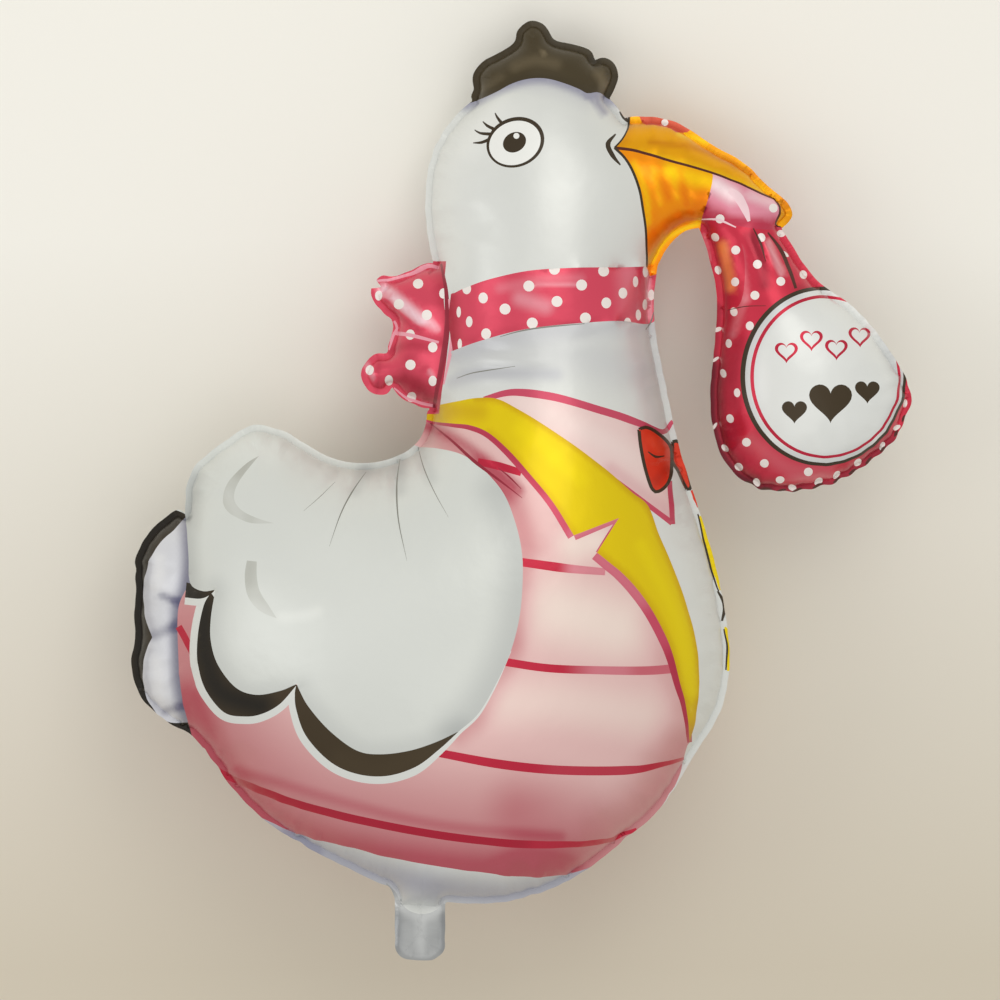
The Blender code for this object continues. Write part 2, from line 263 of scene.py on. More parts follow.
def brush(points, *widths):
    """A painted line along a smooth curve; its widths are spread evenly along it."""
    line = smooth_curve(points)
    along = np.linspace(0, len(widths) - 1, len(line))
    halves = np.interp(along, range(len(widths)), widths) / 2
    left, right = [], []
    for i, (p, half) in enumerate(zip(line, halves)):
        way = (line[min(i + 1, len(line) - 1)] - line[max(i - 1, 0)]).normalized()
        side = Vector((-way.y, way.x)) * half
        left.append(on_sheet(p + side))
        right.append(on_sheet(p - side))
    return anticlockwise(left + right[::-1])


def oval(centre, across, up, tilt=0.0, count=36):
    """An ellipse on the sheet from its half axes; the tilt lifts its right end, in degrees."""
    turn = Matrix.Rotation(math.radians(-tilt), 2)
    ring = []
    for i in range(count):
        angle = math.tau * i / count
        way = Vector((across * math.cos(angle), up * math.sin(angle)))
        ring.append(on_sheet(Vector(centre) + turn @ way))
    return anticlockwise(ring)


def dot(centre, radius, squeeze=1.0, tilt=0.0):
    """A small round dot, narrowed across its tilt."""
    return oval(centre, radius * squeeze, radius, tilt, 14)


def heart(centre, size):
    """A plain heart, a size wide."""
    ring = []
    for i in range(40):
        a = math.tau * i / 40
        x = math.sin(a) ** 3
        y = (13 * math.cos(a) - 5 * math.cos(2 * a) - 2 * math.cos(3 * a) - math.cos(4 * a)) / 16
        ring.append(on_sheet((centre[0] + size / 2 * x, centre[1] - size / 2 * y)))
    return anticlockwise(ring)


# Lines of the drawing.
SCARF_TOP = [(451, 295), (462, 290), (488, 281), (528, 272.5), (573, 269.5), (618, 268.5),
             (647, 267), (662, 264)]
SCARF_HEM = [(453, 352), (475, 344), (506, 335), (535, 329), (573, 325), (618, 322), (647, 324.5),
             (662, 318)]
# Dots of the cloth: place, and how narrow a dot looks where the print turns round the side.
SCARF_DOTS = (
    (459, 313, 0.4), (460, 345, 0.4), (467, 290, 0.8), (469.4, 322.8, 0.6), (483.3, 299.3, 0.85),
    (486.2, 335, 0.9), (505, 310.5, 1), (528.6, 287.7, 1), (532, 324.5, 1), (554, 271, 1),
    (556.5, 303, 1), (581, 286.6, 1), (584.8, 319.4, 1), (603, 272.5, 1), (605.6, 304.2, 0.9),
    (622.3, 294.2, 0.8), (627, 324, 0.7), (635, 282.6, 0.5), (638, 315.6, 0.5), (645, 272.5, 0.5),
    (645, 305, 0.45), (651.5, 295, 0.6),
)
BOW_DOTS = (
    (378.6, 295.5, 0.7), (399, 304.5, 1), (418, 283.7, 1), (427, 315.6, 1), (443.5, 294.2, 0.8),
    (410.3, 335, 0.9), (433, 347.8, 0.9), (410.7, 365.2, 1), (369.6, 370, 0.8), (389, 380.4, 0.8),
    (433, 381.3, 0.8), (411.4, 397.5, 0.9),
)
BUNDLE_DOTS = (
    (719.5, 219.5, 1), (773, 208.5, 1), (714.9, 237.6, 0.8), (735.1, 250.7, 1), (717.9, 270.2, 0.7),
    (734.4, 282.4, 0.9), (756.7, 265, 1), (779.9, 282, 1), (760.8, 238.1, 0.9), (781.1, 233.5, 0.8),
    (803.1, 274.8, 0.9), (784.7, 254.2, 0.4), (754, 296, 1), (733.3, 312.3, 0.8),
    (717.4, 329.5, 0.5), (748.9, 326.5, 0.9), (727.8, 343.7, 0.7), (722.7, 373.6, 0.65),
    (736.3, 393.1, 0.7), (714.8, 359.4, 0.35), (729.4, 418.8, 0.8), (714, 426.4, 0.35),
    (745.7, 442.5, 0.95), (724.8, 448.2, 0.6), (763.4, 463.9, 1), (738.4, 467.2, 0.8),
    (807.7, 472.8, 1), (779.4, 481.5, 0.9), (755.5, 484.7, 0.9), (819, 484, 0.9),
    (837.3, 477, 0.8), (858.7, 464.3, 0.8), (792.5, 490.5, 0.8), (905.5, 403.5, 0.5),
    (899.3, 429, 0.6), (884, 448, 0.7),
)


def dots(places, radius, edge=((0, 0), (0, 1000))):
    """A dot at each place, narrow across the edge that the film curves down to."""
    line = smooth_curve(edge, 10)
    rings = []
    for x, y, narrow in places:
        way = min((p - Vector((x, y)) for p in line), key=lambda w: w.length)
        rings.append(dot((x, y), radius, narrow, math.degrees(math.atan2(-way.y, way.x))))
    return rings


WING_RIGHT = [(419.7, 447), (437, 448.5), (461, 454.5), (481, 467.5), (502, 491), (513.5, 517),
              (521, 547), (522.5, 576), (519.5, 614), (510.7, 649), (496, 681.5), (478.5, 711),
              (459.3, 728.5)]
WING_HEM = [(459.3, 728.5), (437, 739), (411, 747.6), (381.6, 751.4), (358, 747.6), (331.7, 728.5),
            (311, 705), (302, 689), (299, 682)]
WING_HEM_MIDDLE = [(299, 682), (282, 689), (258.4, 693), (238, 686), (220.3, 664), (213, 640.5),
                   (213, 617), (217.5, 589)]
WING_HEM_LEFT = [(217.5, 589), (205.6, 590.7), (194, 586), (190.3, 576), (190, 558), (188, 532),
                 (185, 514)]
SHADOW = [(459.3, 728.5), (440.3, 746), (416.8, 763.7), (387.5, 773), (358, 771), (331.7, 759),
          (308.3, 734), (298.5, 708), (297, 692), (298.5, 683)]
SHADOW_MIDDLE = [(299, 683), (282, 702), (264, 712), (246.7, 714.8), (226, 711), (208.5, 690),
                 (199.7, 664), (199.7, 634.7), (205.6, 605), (213, 592)]
SHADOW_LEFT = [(217, 589), (213, 593.6), (202.7, 598), (186.5, 597)]
TAIL_CREASE = [(189, 505), (188.6, 518.6), (191.3, 558), (186.8, 590), (180.5, 604), (178.8, 622),
               (179.6, 651), (181.4, 686), (186.8, 715), (194, 742), (204, 756)]
SHIRT_HEM = [(250, 812), (264.7, 819.3), (299.8, 835), (345.4, 844.5), (387.5, 855), (433, 863),
             (485.7, 871), (520.8, 875.4), (555.8, 875.4), (583.9, 870), (606, 858), (640, 836)]
COLLAR_LINE = [(484, 400), (506, 394), (524, 393.7), (551, 397.5), (573, 403), (595.5, 409.8),
               (618, 416.5), (640, 424.3), (662.5, 432), (673, 421)]
LAPEL_OUTER = [(425, 413), (435, 406.5), (457, 402), (477, 398.7), (497.3, 399.8), (517.4, 409.8),
               (539.7, 423.2), (573, 445.5), (595.5, 462.3), (611, 474.6), (631, 492.4),
               (647, 505.8), (657.3, 533), (669, 560), (681, 591), (690.4, 621), (695.8, 646),
               (698, 667), (698.4, 687), (695.8, 713), (692.7, 730), (689.5, 742)]
LAPEL_LOWER = [(689.5, 742), (687.4, 722), (684.3, 701), (679, 682.5), (672, 655), (664.4, 635),
               (650.6, 609), (635.3, 587.6), (620, 571.5), (608.8, 562.4), (596, 552)]
LAPEL_NOTCH = (617.8, 517.8)
LAPEL_UPPER = [(573, 535), (552.7, 502.5), (529.7, 474.4), (509.3, 451.4), (489, 433.6),
               (471, 426), (453.2, 424), (435.3, 422), (425, 419)]
MOUTH = [(614, 149.3), (633.5, 151.6), (653.6, 157), (673.7, 163), (693.8, 168.3), (713.8, 174.3),
         (734, 181.7), (754, 190.4), (774, 199)]
JAW_ROOT = [(614, 149.3), (624, 159), (632, 172.3), (638.8, 191), (642.2, 209.8), (645, 228.6),
            (646.2, 247.3), (647, 268)]
BEAK_ROOT = [(629, 112), (628.8, 121.4), (627.5, 129.5), (622, 140.2), (614, 149.3)]
HOOK = [(774, 199), (779.5, 207), (779.5, 214), (775.4, 224.6), (781, 227)]
CHEEK = [(712.5, 176.3), (711.2, 185.7), (707, 201.8), (701.8, 218), (700, 232)]
BERET_BRIM = [(620, 100), (608.6, 99), (603, 95), (597, 93), (587, 94.4), (579, 90.4), (564, 84.6),
              (547, 80), (529.6, 80), (512.4, 84.6), (495, 93.8), (482.6, 99), (466, 104)]
DISC = (823, 376.7)

# Where the print shows the weld gathered: places round the belly, and the bundle's scallops as
# short lines that run in from the weld.
SEAM_TICKS = ((300, 843), (387, 887), (531, 896), (626, 839), (671, 795), (216, 766), (134, 571))
BUNDLE_TICKS = (
    [(909, 416), (905, 423)], [(901, 432), (896, 438)], [(888, 449), (882, 454)],
    [(874, 460), (867, 466)], [(858, 472), (850, 476.5)], [(842, 481), (834, 484.5)],
    [(824, 487), (813, 490.5)], [(803, 492), (793, 495)], [(786, 494), (777, 495)],
    [(770, 493), (760, 491)], [(752, 488), (744, 483)],
)


def painted():
    """The drawing as (ink, ring) pairs, from the bottom layer to the top one."""
    layers = []

    def lay(ink, *rings):
        layers.extend((ink, ring) for ring in rings)

    # Tail plumes with their black border.
    lay("black_ink", patch(TAIL_CREASE, [(204, 756), (110, 780)], [(110, 780), (110, 500)],
                           [(110, 500), (189, 505)]))
    lay("plume_lilac", patch([(190, 514), (184, 518.6), (176, 528), (160, 543.6), (149.3, 561.4),
                              (144, 583), (144, 604), (147, 622), (153.2, 637)],
                             [(153.2, 637), (146.6, 650.7), (143, 672), (145.7, 695.4),
                              (153, 709.6), (161.8, 719.5), (174.3, 723), (192, 722)],
                             [(192, 722), (200, 640), (190, 514)]))
    # Fill tail.
    lay("valve_grey", patch([(386, 884), (396, 893), (401, 903), (410, 911), (423, 914),
                             (436, 910), (447, 899)],
                            [(447, 899), (470, 980)], [(470, 980), (370, 980)],
                            [(370, 980), (386, 884)]))
    # Shirt and its stripes.
    lay("shirt_pink", patch([(424, 414), (412, 440), (420, 460)], [(420, 460), (240, 600)],
                            [(240, 600), (186, 588)],
                            TAIL_CREASE[3:], [(204, 756), (205, 800)], [(205, 800), (250, 812)],
                            SHIRT_HEM, [(640, 836), (670.5, 794), (680, 774), (683, 760),
                                        (688, 742)],
                            LAPEL_LOWER, [(596, 552), (640, 530)], [(640, 530), (560, 440)],
                            [(560, 440), (470, 405), (424, 414)]))
    lay("stripe_pink",
        brush([(505, 559), (540, 564), (570, 568), (604, 571)], 8, 9, 7),
        brush([(500, 659), (547, 666), (598, 668.3), (645, 669), (676, 667)], 8, 8, 9),
        brush([(440, 750), (496, 760.5), (547, 766.5), (598, 768.5), (637, 767.5), (662, 763),
               (684, 758)], 8, 9, 9, 9, 3),
        brush([(214, 771), (258, 788), (310, 805.5), (380, 821.5), (450, 833.7), (520, 841.5),
               (573, 842.5), (608, 839.7), (637, 830)], 7, 8, 8, 8, 4),
        brush([(478, 462), (499, 466.5), (521, 473)], 7, 8, 7),
        brush([(180, 626), (186, 636), (194, 652), (199, 664)], 7, 7, 4))
    # Wing, with the black shadows under its scallops and a white line round them.
    lay("white_film", brush(SHADOW, 6, 15, 15, 15, 12), brush(SHADOW_MIDDLE, 12, 15, 15, 15, 14),
        brush(SHADOW_LEFT, 14, 14, 14), brush(WING_RIGHT[9:], 1, 3, 6))
    lay("black_ink", patch(SHADOW, [(298.5, 683), (340, 690), (459.3, 728.5)]),
        patch(SHADOW_MIDDLE, [(213, 592), (250, 640), (299, 683)]),
        patch(SHADOW_LEFT, [(186.5, 597), (188, 582)], [(188, 582), (217, 589)]))
    lay("wing_white", patch(WING_RIGHT, WING_HEM, WING_HEM_MIDDLE, WING_HEM_LEFT,
                            [(185, 514), (170, 500), (185, 440), (240, 412), (300, 424),
                             (360, 450), (400, 442), (419.7, 447)]))
    # Painted shade in the wing's folds, as fine grey lines.
    lay("crease_shade_grey", brush([(400, 459), (397.4, 485), (399.5, 520), (408, 560)], 0.6, 1.7, 1.0, 0.2),
        brush([(418, 447), (425, 470), (436, 494), (449, 517)], 0.5, 1.0, 0.7, 0.2),
        brush([(366.5, 472), (353, 492), (342, 514), (331, 546)], 0.5, 1.5, 0.9, 0.2),
        brush([(336, 482), (321, 497), (305, 511)], 0.3, 0.6, 0.2))
    lay("feather_grey",
        patch([(260, 456), (248, 463), (237, 473), (228, 485), (224, 500), (229, 511), (240, 518),
               (254, 523), (276, 523)],
              [(276, 523), (262, 519), (246, 512), (237, 503), (236, 492), (243, 477), (260, 456)]),
        patch([(249, 560), (247, 575), (249, 592), (256, 604), (266, 612), (279, 617)],
              [(279, 617), (272, 606), (262, 590), (259, 575), (259, 561)],
              [(259, 561), (249, 560)]))
    # Collar.
    lay("collar_pale", patch(COLLAR_LINE[:-1], [(662.5, 432), (669, 483.5), (671, 522.5)],
                             [(671, 522.5), (611, 478), (560, 470), (484, 400)]))
    lay("border_pink", brush(COLLAR_LINE, 5, 8, 7.5, 7.5, 4), brush([(606, 474), (671, 523)], 4, 5.5),
        brush([(671.5, 524), (670.5, 503), (669, 481)], 5.5, 5))
    # Lapel over its pink border.
    lay("border_pink", brush(LAPEL_LOWER, 5, 12, 17, 18, 16), brush(LAPEL_UPPER, 13, 12, 12, 10, 4),
        brush([(573, 535), LAPEL_NOTCH], 10, 7), brush([(596, 552), (606, 536), LAPEL_NOTCH], 3, 3))
    lay("lapel_yellow", patch(LAPEL_OUTER, LAPEL_LOWER, [(596, 552), (606, 536), LAPEL_NOTCH],
                              [LAPEL_NOTCH, (573, 535)], LAPEL_UPPER, [(425, 419), (425, 413)]))
    # Painted shade in the shoulder crease, as dark red lines.
    lay("crease_shade_red",
        brush([(430, 423), (452, 441), (475, 462), (500, 481), (522, 498)], 1, 2.4, 3.4, 2.2, 0.5),
        brush([(498, 468), (509, 477), (521, 489)], 0.6, 1.8, 0.5))
    # Bow tie, and the edge of the other lapel where the drawing turns the corner of the body.
    left_lobe = ([(638, 430), (644.6, 427.7), (653.6, 431), (667, 442), (671.4, 452), (671.4, 468),
                  (667, 483.5), (658, 491.3), (651.3, 489), (644.6, 470), (640, 448), (638, 430)],)
    right_lobe = ([(672.5, 442), (679.2, 442), (684.8, 459), (691.5, 485.7), (687, 489)],
                  [(687, 489), (678, 472), (672.5, 461)], [(672.5, 461), (672.5, 442)])
    for lobe in (left_lobe, right_lobe):
        lay("tie_red", patch(*lobe))
        lay("line_ink", *(brush(stretch, 3.4, 3.4) for stretch in lobe))
    lay("line_ink", brush([(647, 452), (655, 457), (664, 456)], 1, 2.5, 1))
    lay("tie_red", brush([(692, 490), (696, 498), (699, 507)], 3, 6, 3))
    lay("lapel_yellow", brush([(700, 516), (709, 547), (718, 578), (721, 590)], 3, 9, 8, 2),
        brush([(725, 627), (731, 640), (732, 656), (728, 671)], 2, 9, 9, 2))
    lay("line_ink", brush([(698, 514), (705, 545), (713, 575), (719, 591)], 1.5, 2.2, 1.5),
        brush([(718, 591), (725, 606), (722, 621)], 2, 4.5, 2),
        brush([(724, 629), (727, 643), (727, 658), (726, 670)], 1.5, 2.2, 1.5))
    # Scarf: the band round the neck and the bow behind it.
    lay("scarf_cloth", patch([(446, 262), (444, 300), (448, 345), (439, 414)],
                             [(439, 414), (345, 414)], [(345, 414), (345, 255)],
                             [(345, 255), (446, 262)]))
    lay("dot_white", *dots(BOW_DOTS, 5.2))
    # Painted highlights along the bow's rims.
    lay("highlight_pink", brush([(376, 281), (394, 278.5), (412, 273), (428, 266), (439, 268)], 2, 3, 3, 5, 3),
        brush([(395, 333), (412.5, 336), (439, 343)], 4, 3.6, 2.4),
        brush([(394, 321), (397, 328), (393, 336), (389, 350)], 2.4, 3, 3, 1),
        brush([(394, 388), (410, 400), (434, 406)], 1.5, 3, 3))
    # Painted shade in the bow's middle crease, with a painted highlight beside it.
    lay("crease_shade_red", brush([(441, 264), (446.5, 294), (446.5, 338), (434, 408)], 2, 5, 6, 3))
    lay("highlight_pink", brush([(449, 300), (452, 325), (451, 350), (444, 385)], 1.5, 3.5, 3.5, 1.5))
    lay("scarf_cloth", patch(SCARF_TOP, [(662, 264), (662, 318)], SCARF_HEM[::-1],
                             [(453, 352), (449, 322), (451, 295)]))
    lay("dot_white", *dots(SCARF_DOTS, 5.5))
    lay("white_film", brush([(x, y - 6) for x, y in SCARF_TOP], 12, 12),
        brush([(x, y + 6) for x, y in SCARF_HEM], 12, 12))
    # Painted shade as fine lines: in the neck fold, under the scarf's hem and in the neck crease.
    lay("crease_shade_grey", brush([(646, 330), (651, 322), (654, 312)], 0.8, 1.6, 0.8),
        brush([(500, 338), (520, 332.5), (545, 328.5), (584, 325)], 0.6, 1.6, 1.6, 0.6),
        brush([(457, 379), (470, 374.5), (484, 371.9), (515, 367.4)], 0.6, 1.2, 1, 0.5))
    # Beret.
    lay("beret_charcoal", patch(BERET_BRIM, [(466, 104), (455, 5)], [(455, 5), (640, 5)],
                                [(640, 5), (620, 100)]))
    # Eye.
    lay("line_ink", oval((515.3, 144.3), 29.4, 24.8, 22.5, 60))
    lay("eye_white", oval((514.8, 145), 26.2, 21.6, 22.5, 60))
    lay("line_ink", oval((514.4, 144.3), 12, 9.8, 30))
    lay("eye_white", dot((516.3, 137.9), 3.0))
    lay("line_ink",
        brush([(502, 125.4), (497.2, 118.9), (495.1, 114.4)], 3.4, 2.6, 1),
        brush([(494.2, 131), (487.4, 127.4), (482.8, 122.8)], 3.4, 2.8, 1),
        brush([(490.8, 135.9), (480.3, 134.7), (474.7, 131.2)], 3.4, 2.8, 1),
        brush([(488.5, 141.5), (481.7, 144.2), (473.3, 144.5)], 3.4, 2.8, 1))
    # Cloth of the bundle, its dots, a painted reflection and a painted highlight, and painted shade in
    # its folds.
    lay("bundle_cloth", patch(MOUTH[5:], HOOK, [(781, 227), (830, 270)], [(830, 270), (940, 330)],
                              [(940, 330), (945, 440)], [(945, 440), (880, 520)],
                              [(880, 520), (720, 520)], [(720, 520), (685, 420)],
                              [(685, 420), (700, 232)], CHEEK[::-1], [(712.5, 176.3), MOUTH[5]]))
    lay("roll_pink", patch([(705, 165), (800, 190)], [(800, 190), (800, 225)],
                           [(800, 225), (783, 229), (762, 230), (738, 226.5), (718, 220.5),
                            (700, 219.5)], [(700, 219.5), (690, 200), (705, 165)]))
    # Painted reflection of the orange beak on the bundle's neck.
    lay("cloth_painted_reflection", patch([(709, 230), (724, 230), (741, 246), (744, 280), (738, 306), (722, 306),
                             (714, 280), (709, 230)]))
    lay("dot_white", *dots(BUNDLE_DOTS, 4.5, BUNDLE[0]))
    # A painted highlight on the roll, and a thin white line below it.
    lay("highlight_and_line_white", brush([(729, 191), (737, 197), (744, 209), (748.5, 222)], 6, 9.5, 8, 3),
        brush([(700.4, 219.9), (717.9, 220.5), (735.3, 227.9)], 1.2, 2.4, 1.2))
    # Painted shade in the bundle's folds, as dark brown lines.
    lay("fold_shade_brown", brush([(767.4, 233), (779.5, 248.7), (788, 267.4), (795, 289)], 1.5, 4, 4, 3),
        brush([(752.7, 229), (760, 244), (765, 262)], 1.2, 2.4, 0.6),
        brush([(727, 310.5), (745, 307), (765, 306.5)], 0.5, 0.9, 0.5))
    # The scalloped weld low on the bundle: painted shade where the film is drawn in between the gathers.
    lay("fold_shade_brown", *(brush(tick, 1.4, 5.0, 1.6) for tick in BUNDLE_TICKS))
    # Disc on the bundle, with a row of outlined hearts over three bold ones.
    lay("line_ink", oval(DISC, 83.5, 90.2, 0, 110))
    lay("disc_white", oval((DISC[0] + 0.8, DISC[1] + 0.2), 79.6, 86.6, 0, 110))
    lay("stripe_pink", oval((DISC[0] + 2, DISC[1] + 0.4), 75.8, 81.8, 0, 110))
    lay("disc_white", oval((DISC[0] + 2.4, DISC[1] + 0.5), 72.6, 78.8, 0, 110))
    for x, y in ((785, 352), (810, 340), (835, 349), (859, 336)):
        lay("stripe_pink", heart((x, y), 23))
        lay("disc_white", heart((x, y - 0.3), 16.5))
    lay("black_ink", heart((829, 401), 43), heart((793, 411), 25), heart((866, 391), 25))
    # Beak: the jaw's pouch, the upper beak and the lines between them.
    lay("pouch_orange", patch(MOUTH[:6], CHEEK, [(700, 232), (655, 275), (647, 268)],
                              JAW_ROOT[::-1]))
    lay("beak_ochre", patch(BEAK_ROOT, MOUTH, HOOK, [(781, 227), (805, 235)],
                            [(805, 235), (800, 190)], [(800, 190), (700, 115)],
                            [(700, 115), (640, 100)], [(640, 100), (629, 112)]))
    lay("patch_coral", patch([(636, 108), (690, 108)], [(690, 108), (690, 130), (676, 132)],
                             [(676, 132), (667, 127), (653.6, 125.4), (643, 123), (636, 108)]))
    lay("dot_white", dot((665, 121.8), 3.6))
    lay("mouth_brown", brush(MOUTH, 3, 2.6, 2.2, 2), brush(HOOK, 2, 2.2, 1.2))
    lay("line_ink", brush(JAW_ROOT, 2.6, 2.6, 2.4, 2), brush(BEAK_ROOT, 2.6, 1.6, 1.8),
        brush([(615.4, 135.1), (607.5, 145.5), (612, 157), (619.8, 166.6)], 1.5, 5, 4.6, 1.5),
        brush([(620.8, 111), (624, 117), (628.4, 121.4)], 4, 4, 3))
    return layers


# Inks of the print on metallised polyester film. Each has its colours from light to dark, with
# the plain colour in the middle, then the roughness and how much of the metal shines through.
# The light and dark ends serve the printed shading and also painted highlights and painted shade.
INKS = {
    # Opaque white ground coat under a clear lacquer: soft and satin, with a faint metal sheen.
    "white_film": (("F0F1EE", "DCDEDB", "9C9CAE"), 0.36, 0.18),
    "wing_white": (("EEF0EC", "D9DCD8", "8E9294"), 0.38, 0.18),
    "feather_grey": (("D6D8D4", "C6C8C2", "A6A69E"), 0.38, 0.18),
    "plume_lilac": (("F2F2F4", "D8D9DF", "5C5B78"), 0.36, 0.18),
    # Thin white over bare metallised film, as on the fill tail: greyer, with a clear metal gleam.
    "valve_grey": (("D6D8D8", "A6A8A9", "70747A"), 0.32, 0.40),
    # Pinks and reds in transparent ink over the white: warm, with brighter glints than the white.
    "shirt_pink": (("F8EADF", "E6BEBC", "B85260"), 0.36, 0.22),
    "collar_pale": (("F6EAE4", "EBCFCC", "D0929A"), 0.36, 0.20),
    "stripe_pink": (("E08E9A", "C0243F", "9C162E"), 0.34, 0.50),
    "border_pink": (("E896A6", "CB4C66", "B02440"), 0.34, 0.35),
    # Transparent yellow over the metal: a deep colour whose highlights stay yellow.
    "lapel_yellow": (("F8E400", "E8CC00", "C08400"), 0.40, 0.50),
    # Cloth reds in transparent ink: they shine most where the film bulges.
    "tie_red": (("F4603A", "DE3A1C", "A82410"), 0.32, 0.30),
    "scarf_cloth": (("F8D0DA", "DC4A62", "A41C34"), 0.30, 0.40),
    "bundle_cloth": (("F4B4BC", "CE3048", "681022"), 0.30, 0.40),
    "roll_pink": (("FBE6EA", "E58FA4", "C03650"), 0.30, 0.25),
    # Painted reflection of the beak: the bundle cloth's own colour, with orange at the light end.
    "cloth_painted_reflection": (("FF9C60", "CE3048", "681022"), 0.30, 0.40),
    # Pale pink of the painted highlights on the bow.
    "highlight_pink": (("F6D0D8", "EFA4B4", "D87088"), 0.34, 0.25),
    # Fine lines in opaque ink, flat, with hardly any metal: painted shade in creases and folds,
    # a painted highlight with a thin white line on the roll, and the printed white dots.
    "crease_shade_grey": (("B4B4B0", "85857E", "5A5A54"), 0.38, 0.10),
    "highlight_and_line_white": (("FFFFFF", "F6D5DC", "F0B8C8"), 0.30, 0.15),
    "fold_shade_brown": (("8A4038", "52241A", "341410"), 0.36, 0.15),
    "crease_shade_red": (("C84860", "942438", "641420"), 0.36, 0.20),
    "dot_white": (("FFFFFF", "F2EAE6", "D8C4C8"), 0.36, 0.12),
    # Warm near-black of three inks over each other: satin, brown rather than grey in the light.
    "beret_charcoal": (("82745A", "42371F", "2A2212"), 0.42, 0.15),
    # Opaque inks of the eye and of the fine outlines: even and crisp, with hardly any metal.
    "eye_white": (("FFFFFF", "F0F1EE", "D0D2D2"), 0.36, 0.10),
    "line_ink": (("4A4030", "382C1A", "221A0E"), 0.38, 0.12),
    # The near-black again, of the plumes, the shadows under the wing and the bold hearts.
    "black_ink": (("5E5038", "3E311D", "1A140A"), 0.36, 0.20),
    # The disc on the bundle, opaque white like the body but a little brighter and cleaner.
    "disc_white": (("F4F5F3", "E4E6E4", "AEB1B6"), 0.36, 0.16),
    # Orange and ochre in transparent ink over bare metal: the strongest, golden gleam.
    "pouch_orange": (("FFD000", "FF9800", "F25A00"), 0.30, 0.60),
    "beak_ochre": (("FFD810", "F0A800", "D07800"), 0.32, 0.65),
    # Dotted cloth that shows over the beak, and the brown line of the mouth, both nearly opaque.
    "patch_coral": (("E88A5A", "D2563C", "B8402E"), 0.32, 0.30),
    "mouth_brown": (("7A3420", "521E0C", "32120A"), 0.38, 0.12),
}
